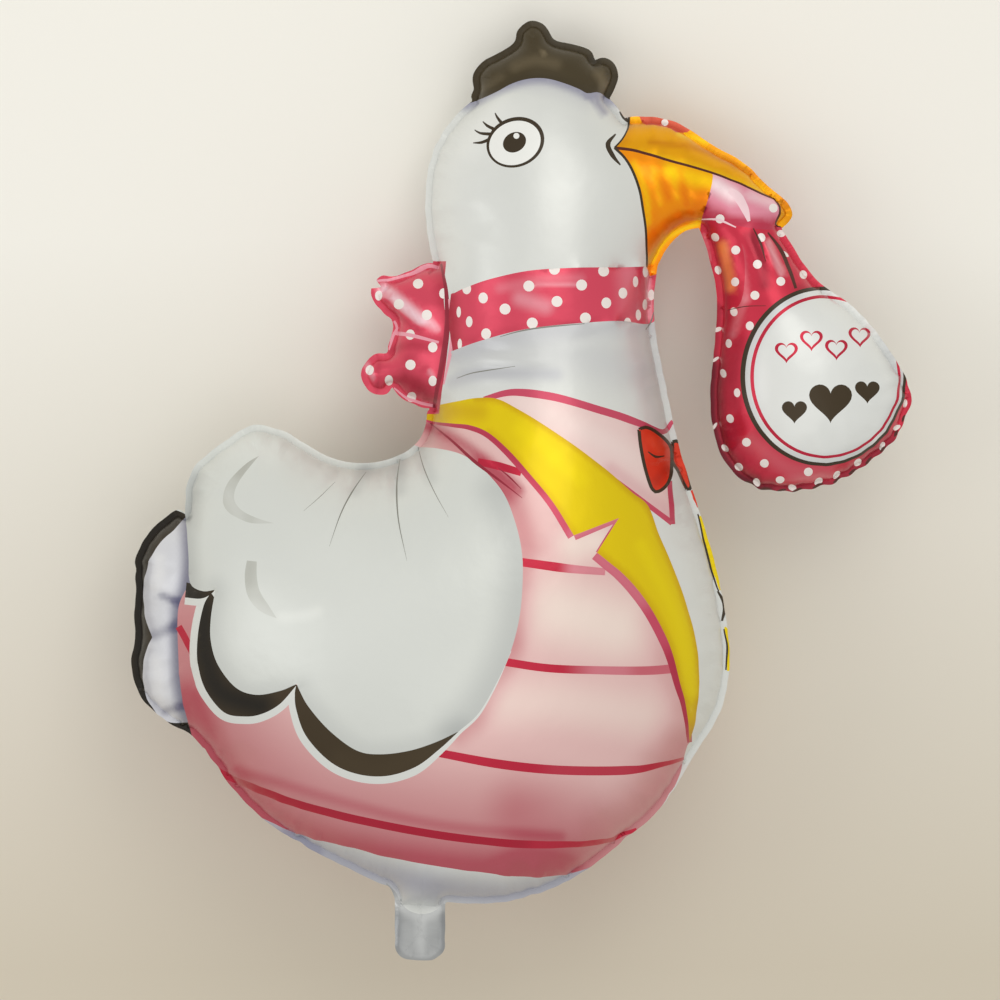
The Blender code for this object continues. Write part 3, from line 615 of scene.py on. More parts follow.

# Printed shading and painted light on each ink: a stroke along points, its reach in grid units, and its
# strength, where more than nothing darkens and less than nothing lightens. Many strokes are painted
# shade in creases, under the beret and the scarf and where the film turns away, and others are painted
# highlights and a painted reflection.
AIRBRUSH_AND_PAINTED_LIGHT = {
    # Painted shade under the beret, under the scarf, in the neck crease and along the belly's lower
    # edge, and painted light over the head.
    "white_film": (
        (BERET_BRIM, 11, 0.8),
        (BERET_BRIM, 26, 0.28),
        ([(586, 94), (594, 101), (604, 113)], 7, 0.75),
        ([(452, 354), (506, 338), (573, 328), (652, 326)], 20, 0.30),
        ([(452, 383), (480, 375), (555, 376)], 12, 0.30),
        ([(290, 838), (310, 852)], 18, 0.5),
        ([(500, 120), (450, 180), (450, 250)], 50, -0.4),
        ([(470, 365), (560, 355), (640, 370)], 44, 0.22),
        ([(662, 340), (678, 400), (700, 480)], 20, 0.15),
        ([(265, 828), (345, 862), (433, 885), (520, 894), (600, 866)], 30, 0.75),
        ([(500, 100), (470, 150)], 20, -0.2),
        ([(560, 200), (560, 250)], 40, -0.25),
    ),
    "feather_grey": (
        ([(252, 458), (241, 472)], 13, 0.5),
        ([(252, 562), (250, 580)], 13, 0.35),
        ([(230, 495), (240, 515)], 12, -0.55),
        ([(262, 521), (276, 521)], 10, -0.5),
        ([(256, 606), (272, 616)], 14, -0.6),
    ),
    # Darker along the hem, with painted shade in the folds, along the tail crease and under the top
    # pinch, and painted light over the top and the middle.
    "wing_white": (
        ([(284, 616), (302, 615), (320, 610)], 10, -0.35),
        ([(366, 470), (356, 490)], 12, 0.25),
        ([(400, 458), (400, 490)], 12, 0.25),
        ([(420, 450), (432, 478)], 12, 0.22),
        ([(230, 445), (290, 450), (340, 470)], 26, -0.3),
        (WING_HEM[:-1], 24, 0.2),
        (WING_HEM_MIDDLE[1:], 22, 0.2),
        (WING_RIGHT[4:], 40, 0.36),
        ([(192, 480), (188, 540), (192, 585)], 20, 0.36),
        ([(330, 470), (400, 470)], 14, 0.2),
        ([(380, 610), (330, 560)], 80, -0.12),
    ),
    # Painted shade along the tail crease and between the plumes, and painted light at the middles of the
    # plumes.
    "plume_lilac": (
        (TAIL_CREASE, 15, 0.8),
        ([(153, 637), (166, 630), (180, 624)], 9, 0.45),
        ([(163, 595), (180, 602)], 7, 0.6),
        ([(164, 712), (186, 704)], 7, 0.5),
        ([(150, 560), (146, 600), (152, 632)], 9, 0.3),
        ([(150, 650), (146, 680), (156, 708)], 8, 0.25),
        ([(160, 560), (160, 585)], 12, -0.5),
        ([(158, 662), (162, 695)], 12, -0.5),
    ),
    # Painted light and shade of a flattened tube: lighter over the funnel and down the middle, darker
    # down the sides.
    "valve_grey": (
        ([(396, 902), (423, 915), (446, 903)], 12, -0.6),
        ([(398, 915), (398, 950)], 7, 0.35),
        ([(443, 915), (443, 950)], 7, 0.35),
        ([(421, 925), (421, 950)], 9, -0.35),
    ),
    # Pinker towards the edges and paler in the middle, with painted shade along the shoulder crease.
    "shirt_pink": (
        ([(190, 640), (215, 740), (300, 812), (400, 838), (500, 852)], 125, 0.66),
        ([(190, 700), (225, 780), (300, 838), (433, 864), (560, 876)], 34, 0.42),
        ([(430, 428), (470, 462), (505, 490)], 24, 0.55),
        ([(520, 500), (535, 545)], 20, 0.25),
        ([(425, 425), (470, 448), (520, 490)], 9, 0.45),
        (WING_RIGHT[3:], 22, 0.42),
        ([(690, 755), (660, 800), (600, 850), (540, 872)], 62, 0.62),
        ([(650, 620), (680, 700)], 24, 0.22),
        ([(500, 575), (512, 640)], 22, 0.15),
        ([(240, 770), (420, 818), (560, 834)], 10, 0.22),
        ([(560, 610), (615, 625)], 60, -0.75),
        ([(510, 700), (560, 700), (640, 712)], 42, -0.45),
        ([(575, 545), (595, 540)], 30, -0.7),
        ([(520, 800), (580, 805)], 50, 0.3),
    ),
    "collar_pale": (
        ([(520, 402), (600, 440), (655, 470)], 20, -0.3),
        ([(610, 470), (668, 515)], 14, 0.4),
        ([(640, 428), (672, 470)], 16, 0.4),
    ),
    "stripe_pink": (
        ([(215, 770), (400, 826), (520, 841)], 20, 0.45),
        ([(640, 668), (676, 667)], 20, 0.3),
        ([(575, 568), (608, 571)], 20, -1.0),
        ([(600, 668), (665, 669)], 42, -0.8),
        ([(560, 766), (620, 768)], 30, -0.1),
    ),
    "border_pink": (
        ([(600, 556), (640, 596)], 22, -0.4),
        ([(672, 660), (690, 745)], 26, 0.8),
        ([(440, 422), (500, 444), (540, 486)], 16, 0.6),
        ([(573, 535), (615, 519)], 12, -0.5),
    ),
    "lapel_yellow": (
        ([(425, 416), (455, 412), (480, 413)], 16, 0.35),
        (LAPEL_LOWER, 8, 0.4),
        (LAPEL_OUTER[3:], 7, 0.5),
        (LAPEL_UPPER[:5], 8, 0.3),
        ([(640, 545), (676, 620), (692, 690)], 12, -0.35),
        ([(520, 430), (580, 480)], 14, -0.3),
    ),
    "tie_red": (
        ([(650, 440), (658, 450)], 8, -0.4),
        ([(655, 482), (666, 470)], 9, 0.5),
    ),
    # Painted highlights on the bow's loops and at the band's right end, and painted shade along the
    # bow's middle crease, in its lower loop and at the band's left end.
    "scarf_cloth": (
        ([(452, 300), (455, 350)], 14, 0.4),
        ([(648, 275), (650, 318)], 5, -0.5),
        ([(641, 270), (643, 322)], 4, 0.2),
        ([(628, 276), (632, 318)], 22, -0.2),
        ([(500, 290), (540, 282), (580, 280)], 9, -0.16),
        ([(470, 342), (530, 328), (600, 321)], 7, 0.2),
        ([(444, 270), (448, 345), (440, 405)], 16, 0.55),
        ([(384, 290), (400, 303), (420, 320)], 11, -1.0),
        ([(428, 322), (440, 330)], 9, -0.6),
        ([(386, 300), (400, 316), (420, 331)], 6, 0.4),
        ([(392, 350), (412, 345), (430, 350)], 9, 0.5),
        ([(408, 360), (424, 366)], 11, 0.35),
        ([(404, 378), (424, 390)], 14, 0.8),
        ([(429, 371), (435, 377)], 6, -0.4),
        ([(366, 364), (374, 378)], 6, -0.35),
        ([(380, 345), (377, 392)], 5, 0.3),
        ([(520, 300), (545, 308)], 14, -0.35),
        ([(528, 288), (580, 286)], 3, -0.3),
    ),
    # Painted shade along the left and lower edges, down the folds and on the upper right, and painted
    # highlights between the folds and low in the middle.
    "bundle_cloth": (
        ([(712, 370), (712, 430), (724, 462), (745, 486)], 20, 0.6),
        (BUNDLE[0][4:13], 8, 0.5),
        ([(745, 488), (800, 494), (850, 480), (895, 445)], 18, 0.65),
        ([(740, 340), (733, 380), (742, 430)], 9, 0.2),
        ([(750, 236), (760, 262), (764, 285)], 10, 0.55),
        ([(706, 235), (715, 280)], 9, 0.30),
        ([(739, 250), (746, 300)], 7, -0.25),
        ([(768, 243), (781, 274)], 6, -0.75),
        ([(742, 300), (733, 335)], 8, -0.35),
        ([(704, 235), (711, 260)], 5, -0.55),
        ([(748, 440), (790, 470), (830, 474)], 16, -0.15),
        ([(800, 290), (850, 320), (890, 370)], 10, 0.40),
        ([(780, 484), (830, 478)], 7, -0.35),
    ),
    # Painted highlights over the top of the roll and painted shade along its lower edge and at its left
    # end.
    "roll_pink": (
        ([(714, 184), (732, 196)], 15, -0.9),
        ([(750, 196), (772, 204)], 10, -0.5),
        ([(700, 217), (740, 225), (784, 226)], 13, 1.3),
        ([(703, 200), (706, 215)], 8, 0.5),
        ([(706, 205), (722, 212)], 8, 0.4),
    ),
    # Painted reflection of the orange beak: the stroke lightens the bundle's cloth towards orange.
    "cloth_painted_reflection": (
        ([(722, 246), (726, 264), (730, 288)], 9, -1.0),
    ),
    # Painted shade round the disc's left, right and lower edges, where the bundle turns away, and
    # painted light over its middle.
    "disc_white": (
        ([(752, 430), (744, 380), (752, 330), (790, 294)], 20, 0.45),
        ([(890, 430), (903, 390), (886, 340)], 16, 0.42),
        ([(770, 450), (820, 464), (868, 450)], 14, 0.35),
        ([(835, 330), (850, 340)], 40, -0.2),
    ),
    # Painted shade along the beret's edge and brim, and painted highlights on its crown, with one small
    # bright glint.
    "beret_charcoal": (
        (BERET[1], 8, 0.45),
        (BERET[2], 8, 0.45),
        (BERET_BRIM, 10, 0.3),
        ([(515, 68), (535, 61), (556, 65)], 10, -0.3),
        ([(542, 51), (543, 56)], 4, -0.9),
        ([(598, 72), (604, 84), (601, 92)], 9, -0.5),
        ([(482, 92), (500, 80)], 10, -0.2),
    ),
    # Painted highlights and painted shade: a bright patch below the mouth, light and dark streaks across
    # the pouch, and a light line along its lower edge.
    "pouch_orange": (
        ([(668, 172), (708, 182)], 17, -0.85),
        ([(633, 165), (645, 195), (648, 225)], 6, -0.7),
        ([(704, 196), (692, 214), (670, 228)], 13, 0.35),
        ([(652, 215), (655, 250)], 8, 0.15),
        ([(650, 262), (668, 237), (700, 222)], 5, -1.3),
        ([(660, 168), (668, 200)], 5, 0.40),
        ([(652, 168), (660, 205)], 4, -0.35),
        ([(680, 172), (686, 205)], 5, 0.40),
        ([(670, 168), (677, 200)], 4, -0.35),
        ([(650, 225), (660, 245)], 5, 0.15),
    ),
    # A darker printed band down the middle, with painted shade along the top weld, at the root and at
    # the hook, and painted highlights below the patch and along the mouth.
    "beak_ochre": (
        ([(628, 120), (624, 140), (616, 149)], 10, 0.35),
        ([(650, 143), (700, 150), (755, 176)], 6, 0.6),
        ([(680, 133), (706, 142)], 6, -0.8),
        ([(640, 154), (700, 168), (770, 194)], 5, -0.4),
        ([(684, 126), (722, 151), (762, 181), (791, 208)], 7, 0.55),
        ([(738, 168), (764, 188)], 5, -0.4),
        ([(784, 200), (788, 220)], 9, 0.50),
    ),
    "black_ink": (
        ([(172, 515), (146, 540), (140, 590), (140, 650), (144, 695), (190, 728)], 24, 1.0),
        ([(192, 592), (205, 610), (206, 650), (222, 690), (262, 704)], 26, 1.0),
        ([(345, 760), (380, 768), (430, 750)], 26, -0.15),
    ),
}


def fill_tail_ring():
    """The flat tail: a strip with round corners that starts inside the belly."""
    centre = on_sheet(TAIL_PLACE)
    half = TAIL_WIDTH / 2
    ring = [centre + Vector((half, TAIL_LENGTH / 2)), centre + Vector((-half, TAIL_LENGTH / 2))]
    for side, first in ((-1, 180), (1, 270)):
        middle = centre + Vector((side * (half - TAIL_CORNER), TAIL_CORNER - TAIL_LENGTH))
        for i in range(11):
            angle = math.radians(first + 9 * i)
            ring.append(middle + TAIL_CORNER * Vector((math.cos(angle), math.sin(angle))))
    return anticlockwise(ring)


def union_outline(rings):
    """The outer edge of overlapping rings, as one ring that runs anticlockwise."""
    points = [p for ring in rings for p in ring]
    faces, start = [], 0
    for ring in rings:
        faces.append(list(range(start, start + len(ring))))
        start += len(ring)
    made = delaunay_2d_cdt(points, [], faces, 0, MERGE_DISTANCE, True)
    verts, triangles, owners = made[0], made[2], made[5]
    inner = [t for t, owner in zip(triangles, owners) if owner]
    directed = {(t[i], t[i - 2]) for t in inner for i in range(3)}
    following = {a: b for a, b in directed if (b, a) not in directed}
    loops = []
    while following:
        a, b = following.popitem()
        loop = [a]
        while b != loop[0]:
            loop.append(b)
            b = following.pop(b)
        loops.append([verts[i] for i in loop])
    return anticlockwise(max(loops, key=len))


def even_ring(ring, step):
    """Places an even step apart round a ring, and the outward normal at each."""
    places = np.array([p[:] for p in ring + ring[:1]])
    along = np.concatenate([[0.0], np.cumsum(np.hypot(*np.diff(places, axis=0).T))])
    count = round(along[-1] / step)
    spots = np.arange(count) * along[-1] / count
    made = np.column_stack([np.interp(spots, along, places[:, k]) for k in range(2)])
    way = np.roll(made, -2, axis=0) - np.roll(made, 2, axis=0)
    normal = np.column_stack([way[:, 1], -way[:, 0]]) / np.hypot(*way.T)[:, None]
    return made, normal, along[-1]


def tree_of(places):
    """A search tree of places on the sheet."""
    tree = KDTree(len(places))
    for i, (x, y) in enumerate(places):
        tree.insert((x, y, 0.0), i)
    tree.balance()
    return tree


def nearest(tree, places):
    """The index of the nearest point in a tree, and how far it is, for each place."""
    found = [tree.find((x, y, 0.0)) for x, y in places]
    return np.array([f[1] for f in found]), np.array([f[2] for f in found])


def inside_ring(points, ring):
    """Which points lie inside a ring."""
    hits = np.zeros(len(points), bool)
    for a, b in zip(ring, np.roll(ring, -1, axis=0)):
        crosses = (a[1] > points[:, 1]) != (b[1] > points[:, 1])
        rise = b[1] - a[1] if b[1] != a[1] else 1.0
        hits ^= crosses & (points[:, 0] < a[0] + (points[:, 1] - a[1]) * (b[0] - a[0]) / rise)
    return hits


def distance_to_line(points, line):
    """How far each point is from a line of points, and how far along it the nearest place is."""
    starts, ends = line[:-1], line[1:]
    lengths = np.hypot(*(ends - starts).T)
    before = np.concatenate([[0.0], np.cumsum(lengths)])
    best, run = np.full(len(points), np.inf), np.zeros(len(points))
    for a, b, length, start in zip(starts, ends, lengths, before):
        way = b - a
        t = np.clip((points - a) @ way / max(length * length, 1e-18), 0.0, 1.0)
        far = np.hypot(*(points - a - t[:, None] * way).T)
        closer = far < best
        best[closer] = far[closer]
        run[closer] = (start + t * length)[closer]
    return best, run / before[-1]


def on_line(points, step=6):
    """A grid line as an array of places on the sheet."""
    return np.array([on_sheet(p)[:] for p in smooth_curve(points, step)])


def loose_points(rim, normals, layers):
    """Points inside the sheet: rows along the rim and an even fill, clear of the drawn lines."""
    tree = tree_of(rim)
    rows = []
    for depth in ROW_DEPTHS:
        row = rim - normals * depth
        _, far = nearest(tree, row)
        rows.append(row[(far > ROW_DEPTH_KEPT * depth) & inside_ring(row, rim)])
    low, high = rim.min(axis=0), rim.max(axis=0)
    fill = np.array([
        (x + (FILL_STEP / 2 if j % 2 else 0.0), y)
        for j, y in enumerate(np.arange(low[1], high[1], FILL_STEP * math.sqrt(3) / 2))
        for x in np.arange(low[0], high[0], FILL_STEP)
    ])
    fill = fill[inside_ring(fill, rim)]
    _, far = nearest(tree, fill)
    rows.append(fill[far > ROW_DEPTHS[-1] + FILL_SPACE])
    lines = np.array([
        (p.lerp(q, t))[:] for _, ring in layers for p, q in zip(ring, ring[1:] + ring[:1])
        for t in (0.0, 0.33, 0.67)
    ])
    loose = np.vstack(rows)
    _, far = nearest(tree_of(lines), loose)
    return loose[far > LINE_SPACE]


def flat_sheet(rim, normals, layers):
    """One flat sheet as a bmesh, cut along the drawing, with an ink number on each face."""
    loose = loose_points(rim, normals, layers)
    drawing = np.array([p[:] for _, ring in layers for p in ring])
    points = np.vstack([rim, loose, drawing])
    faces, start = [list(range(len(rim)))], len(rim) + len(loose)
    for _, ring in layers:
        faces.append(list(range(start, start + len(ring))))
        start += len(ring)
    made = delaunay_2d_cdt([Vector(p) for p in points], [], faces, 0, MERGE_DISTANCE, True)

    names = list(INKS)
    sheet = bmesh.new()
    verts = {}
    for triangle, owners in zip(made[2], made[5]):
        if 0 in owners:
            corners = []
            for i in triangle:
                if i not in verts:
                    verts[i] = sheet.verts.new((*made[0][i], 0.0))
                corners.append(verts[i])
            face = sheet.faces.new(corners)
            top = max(owners)
            face.material_index = names.index(layers[top - 1][0]) if top else 0
    crossing = [
        e for e in sheet.edges if not e.is_boundary and all(v.is_boundary for v in e.verts)
    ]
    bmesh.ops.subdivide_edges(sheet, edges=crossing, cuts=1)
    bmesh.ops.dissolve_degenerate(sheet, edges=sheet.edges, dist=MERGE_DISTANCE)
    bmesh.ops.triangulate(sheet, faces=[f for f in sheet.faces if len(f.verts) > 3])
    return sheet


def blown_height(points, triangles, flat):
    """Half the thickness at each point, by the membrane equation with flat points held down."""
    area = np.zeros(len(points))
    starts, ends, weights = [], [], []
    corners = points[triangles]
    for k in range(3):
        a, b, c = corners[:, k], corners[:, (k + 1) % 3], corners[:, (k + 2) % 3]
        u, v = b - a, c - a
        twice = np.maximum(np.abs(u[:, 0] * v[:, 1] - u[:, 1] * v[:, 0]), 1e-12)
        starts.append(triangles[:, (k + 1) % 3])
        ends.append(triangles[:, (k + 2) % 3])
        weights.append(np.clip(0.5 * (u * v).sum(axis=1) / twice, -2.0, 40.0))
        area += np.bincount(triangles[:, k], twice / 6, len(points))
    i, j, w = np.concatenate(starts), np.concatenate(ends), np.concatenate(weights)
    held = np.zeros(len(points))
    for path, reach, strength in PINCHES:
        far, _ = distance_to_line(points, on_line(path))
        held = np.maximum(held, strength * np.clip(1.0 - far / (reach * GRID), 0.0, 1.0))
    pinch = PINCH_STRENGTH * (PINCH_HEIGHT / HEIGHT) ** 2 * held * area
    spread = np.bincount(i, w, len(points)) + np.bincount(j, w, len(points)) + pinch
    free = ~flat

    def pulled(x):
        y = spread * x - np.bincount(i, w * x[j], len(x)) - np.bincount(j, w * x[i], len(x))
        return np.where(free, y, 0.0)

    # Conjugate gradients, scaled by the diagonal.
    scale = np.maximum(spread, 1e-9)
    x = np.zeros(len(points))
    rest = np.where(free, 2.0 * area, 0.0)
    step = rest / scale
    way, size = step.copy(), rest @ step
    goal = size * 1e-10
    for _ in range(2500):
        pull = pulled(way)
        move = size / (way @ pull)
        x += move * way
        rest -= move * pull
        step = rest / scale
        fresh = rest @ step
        if fresh < goal:
            break
        way = step + (fresh / size) * way
        size = fresh
    return FULLNESS * np.sqrt(np.maximum(x, 0.0))


def way_out(points, lift, triangles):
    """The way out of the upper film at each point."""
    places = np.column_stack([points, lift])
    a, b, c = (places[triangles[:, k]] for k in range(3))
    square = np.cross(b - a, c - a)
    way = np.column_stack([
        sum(np.bincount(triangles[:, k], square[:, axis], len(points)) for k in range(3))
        for axis in range(3)
    ])
    return way / np.linalg.norm(way, axis=1)[:, None]


def neighbour_mean(values, triangles):
    """The mean of the values round each point."""
    total, count = np.zeros(len(values)), np.zeros(len(values))
    for k in range(3):
        for other in (1, 2):
            beside = triangles[:, (k + other) % 3]
            total += np.bincount(triangles[:, k], values[beside], len(values))
            count += np.bincount(triangles[:, k], minlength=len(values))
    return total / np.maximum(count, 1)


def pleats_round(rim, normals, length, tree):
    """Where the film is gathered at the weld.

    Each gather is its place along the weld, width, length, depth, lean, side and how far it
    draws the edge in.
    """
    rng = np.random.default_rng(PLEAT_SEED)
    count = len(rim)
    way = np.column_stack([-normals[:, 1], normals[:, 0]])
    reach = max(2, round(BEND_REACH / (length / count)))
    before, after = np.roll(way, reach, axis=0), np.roll(way, -reach, axis=0)
    bend = before[:, 0] * after[:, 1] - before[:, 1] * after[:, 0]
    made = []
    shown = [(tick[0], *SCALLOP) for tick in BUNDLE_TICKS] + [(tick, *TICK) for tick in SEAM_TICKS]
    for spot, width, depth, drawn in shown:
        k = tree.find((*on_sheet(spot), 0.0))[1]
        made.append((k / count * length, width, SHOWN_PLEAT_LENGTH, depth, 0.0, 1.0, drawn))
    place = 0.0
    while place < length:
        k = int(place / length * count) % count
        room = FIRST_ROOM
        while room < PLEAT_LENGTH[1] / ROOM_SHARE:
            spot = rim[k] - normals[k] * (room + ROOM_STEP)
            if tree.find((*spot, 0.0))[2] < ROOM_CLEAR * room:
                break
            room += ROOM_STEP
        strength = float(np.clip(STRAIGHT_STRENGTH + STRENGTH_PER_BEND * bend[k], *STRENGTH_LIMITS))
        strength *= rng.uniform(0.45, 1.0)
        reach = min(rng.uniform(*PLEAT_LENGTH) * (0.55 + 0.45 * strength), ROOM_SHARE * room)
        made.append((place, PLEAT_WIDTH * rng.uniform(0.75, 1.5), reach, PLEAT_DEPTH * strength,
                     rng.uniform(-0.25, 0.25), rng.choice((-1.0, 1.0)), PLEAT_DRAW * strength))
        place += rng.uniform(*PLEAT_SPACING)
    return made


def along_weld(points, rim, normals, length, tree):
    """The nearest rim point to each point, how far along the weld it is, and how deep inside."""
    index, depth = nearest(tree, points)
    way = np.column_stack([-normals[:, 1], normals[:, 0]])
    offset = ((points - rim[index]) * way[index]).sum(axis=1)
    step = length / len(rim)
    run = index * step + np.clip(offset, -step, step)
    depth = np.maximum(np.abs(((points - rim[index]) * normals[index]).sum(axis=1)),
                       np.where(depth < step, 0.0, depth * 0.98))
    return index, run, depth


def gathered(run, depth, pleats, length):
    """How deep the film is gathered, which way the weld waves, and how far it is drawn in."""
    gather, wave, pull = (np.zeros(len(run)) for _ in range(3))
    for place, width, reach, strength, lean, side, drawn in pleats:
        past = (run - place - lean * depth + length / 2) % length - length / 2
        off = np.abs(past) / (width + PLEAT_SPREAD * depth)
        fade = np.clip(1.0 - (depth - SEAM_WIDTH) / max(reach, 1 * MM), 0.0, 1.0) ** 1.4
        valley = np.exp(-off) - 0.25 * np.exp(-((off - 2.4) ** 2))
        gather += strength * valley * fade
        near = np.exp(-((past / (2.2 * width)) ** 2))
        wave += side * strength * near * np.exp(-depth / WAVE_DEPTH)
        pull += drawn * near * np.exp(-depth / DRAW_DEPTH)
    return gather, wave, pull


def press_folds(points, lift):
    """Presses the long folds into the lift: a sharp valley with a soft ridge on each side."""
    for path, drop, half in FOLDS:
        far, share = distance_to_line(points, on_line(path, 4))
        off = far / (half * GRID)
        taper = np.clip((1.0 - share) * 1.6, 0.0, 1.0) * np.clip(0.35 + share * 8, 0.0, 1.0)
        form = np.exp(-off) * 1.15 - 0.4 * np.exp(-((off - 2.3) ** 2))
        lift -= np.minimum(drop * MM * taper * form, 0.5 * lift)


def film_form(points, triangles, rim, normals, length):
    """Places of the upper and the lower film, and where each point is along and off the weld."""
    tree = tree_of(rim)
    index, run, depth = along_weld(points, rim, normals, length, tree)
    root = on_sheet(TAIL_PLACE)
    in_border = depth < SEAM_WIDTH * 1.02
    in_tail = (points[:, 1] < root.y) & (np.abs(points[:, 0] - root.x) < 0.6 * TAIL_WIDTH)
    lift = blown_height(points, triangles, in_border | in_tail)

    pleats = pleats_round(rim, normals, length, tree)
    gather, wave, pull = gathered(run, depth, pleats, length)
    sunk = DEEPEST_PLEAT * np.tanh(lift * np.clip(gather, *GATHER_LIMITS) / DEEPEST_PLEAT)
    out = way_out(points, lift, triangles)
    lift -= sunk * (1.0 - PLEAT_SLANT + PLEAT_SLANT * out[:, 2])
    press_folds(points, lift)
    even = neighbour_mean(lift, triangles)
    inner = depth > ROW_DEPTHS[-1]
    lift = np.where(inner, np.clip(lift, even - SHARPEST_PIT, even + SHARPEST_PIT), lift)

    border = SEAM_THICKNESS / 2 * np.clip(depth / WELD_ROUND, 0.0, 1.0)
    lift = np.where(in_border, border, lift + SEAM_THICKNESS / 2)
    tail_rise = np.clip(depth / TAIL_ROUND, 0.0, 1.0) * TAIL_THICKNESS / 2
    lift = np.where(in_tail, tail_rise, lift)
    middle = WAVE_HEIGHT * wave
    down = np.clip((root.y - points[:, 1]) / TAIL_LENGTH, 0.0, 1.0)
    ripple = TAIL_WAVE * np.sin(down * 7.0) * np.sin(points[:, 0] * 140.0 + 1.0)
    middle += np.where(in_tail, ripple, 0.0)
    flat = points - normals[index] * pull[:, None] - PLEAT_SLANT * sunk[:, None] * out[:, :2]
    upper = np.column_stack([flat, middle + lift])
    lower = np.column_stack([flat, middle - lift])
    return upper, lower, run, depth


def lying():
    """How the weld's plane is turned in the frame, and one place on it and in the frame."""
    mount = next(m for m in frame["record"]["mounts"] if m["name"] == "fill_tail")
    turn = Vector((0, 0, 1)).rotation_difference(Vector(mount["axis"])).to_matrix()
    root = on_sheet(TAIL_PLACE)
    return turn, (root.x, root.y - TAIL_LENGTH / 2, TAIL_THICKNESS / 2), mount["pos_m"]


def laid_down(places):
    """Places in the plane of the weld, moved to where the balloon lies in the frame."""
    turn, on_tail, spot = lying()
    laid = (places - np.array(on_tail)) @ np.array(turn).T + np.array(spot)
    laid[:, 2] = np.maximum(laid[:, 2], 0.0)
    return laid


def tinted(points, ink):
    """How far an ink is darkened or lightened at each point, with 0.5 as it is."""
    tint = np.full(len(points), 0.5)
    for path, reach, strength in AIRBRUSH_AND_PAINTED_LIGHT[ink]:
        far, _ = distance_to_line(points, on_line(path, 10))
        soft = np.clip(1.0 - far / (reach * GRID), 0.0, 1.0)
        tint += strength * 0.5 * soft * soft * (3.0 - 2.0 * soft)
    return np.clip(tint, 0.0, 1.0)


def balloon_film():
    """The whole envelope: both printed films, welded along the rim."""
    outline = union_outline([patch(*part) for part in PART_OUTLINES] + [fill_tail_ring()])
    rim, normals, length = even_ring(outline, SEAM_STEP)
    layers = painted()
    form = flat_sheet(rim, normals, layers)
    form.verts.index_update()
    points = np.array([v.co[:2] for v in form.verts])
    triangles = np.array([[v.index for v in f.verts] for f in form.faces])
    upper, lower, run, depth = film_form(points, triangles, rim, normals, length)

    number = form.verts.layers.int.new("number")
    for v in form.verts:
        v[number] = v.index
    first = list(form.verts)
    faces = list(form.faces)
    copied = bmesh.ops.duplicate(form, geom=first + list(form.edges) + faces)
    second = {v[number]: v for v in copied["geom"] if isinstance(v, bmesh.types.BMVert)}
    turned = [f for f in copied["geom"] if isinstance(f, bmesh.types.BMFace)]
    bmesh.ops.reverse_faces(form, faces=turned)
    rim_verts = [v for v in first if v.is_boundary]
    welded = {second[v[number]]: v for v in rim_verts}
    top, under = laid_down(upper), laid_down(lower)
    for v in first:
        v.co = top[v[number]]
    for i, v in second.items():
        if v not in welded:
            v.co = under[i]
    bmesh.ops.weld_verts(form, targetmap=welded)

    mesh = bpy.data.meshes.new("balloon_film")
    form.to_mesh(mesh)
    form.free()
    paint_corners(mesh, points, run, depth)
    film = bpy.data.objects.new("balloon_film", mesh)
    bpy.context.scene.collection.objects.link(film)
    mesh.shade_smooth()
    mesh.set_sharp_from_angle(angle=math.radians(SHARP_EDGE))
    for name in INKS:
        mesh.materials.append(printed_film(name))
    return film


def paint_corners(mesh, points, run, depth):
    """Writes the printed shading, painted shade and painted highlights on the corners, and the run along
    and depth off the weld as a UV map.
    """
    corner = np.zeros(len(mesh.loops), int)
    mesh.loops.foreach_get("vertex_index", corner)
    number = np.zeros(len(mesh.vertices), int)
    mesh.attributes["number"].data.foreach_get("value", number)
    ink = np.zeros(len(mesh.polygons), int)
    mesh.polygons.foreach_get("material_index", ink)
    ink = np.repeat(ink, 3)
    place = number[corner]
    tint = np.full(len(corner), 0.5)
    for k, name in enumerate(INKS):
        mine = ink == k
        if name in AIRBRUSH_AND_PAINTED_LIGHT and mine.any():
            spots, back = np.unique(place[mine], return_inverse=True)
            tint[mine] = tinted(points[spots], name)[back]
    airbrush_and_painted_light = mesh.attributes.new("airbrush_and_painted_light", "FLOAT", "CORNER")
    airbrush_and_painted_light.data.foreach_set("value", tint.astype(np.float32))
    weld = mesh.uv_layers.new(name="weld_run")
    spread = np.column_stack([run[place], depth[place]])
    weld.data.foreach_set("uv", spread.astype(np.float32).ravel())


def colour(hexed):
    """A linear colour from an sRGB hex value."""
    channels = [int(hexed[k:k + 2], 16) / 255 for k in (0, 2, 4)]
    return [c / 12.92 if c <= 0.04045 else ((c + 0.055) / 1.055) ** 2.4 for c in channels] + [1.0]


def node(tree, kind, settings=(), links=()):
    """Adds a node to a tree, with its settings and the links into it."""
    made = tree.nodes.new(kind)
    for name, value in dict(settings).items():
        if name in made.inputs and not hasattr(type(made), name):
            made.inputs[name].default_value = value
        else:
            setattr(made, name, value)
    for name, source in dict(links).items():
        tree.links.new(source, made.inputs[name])
    return made


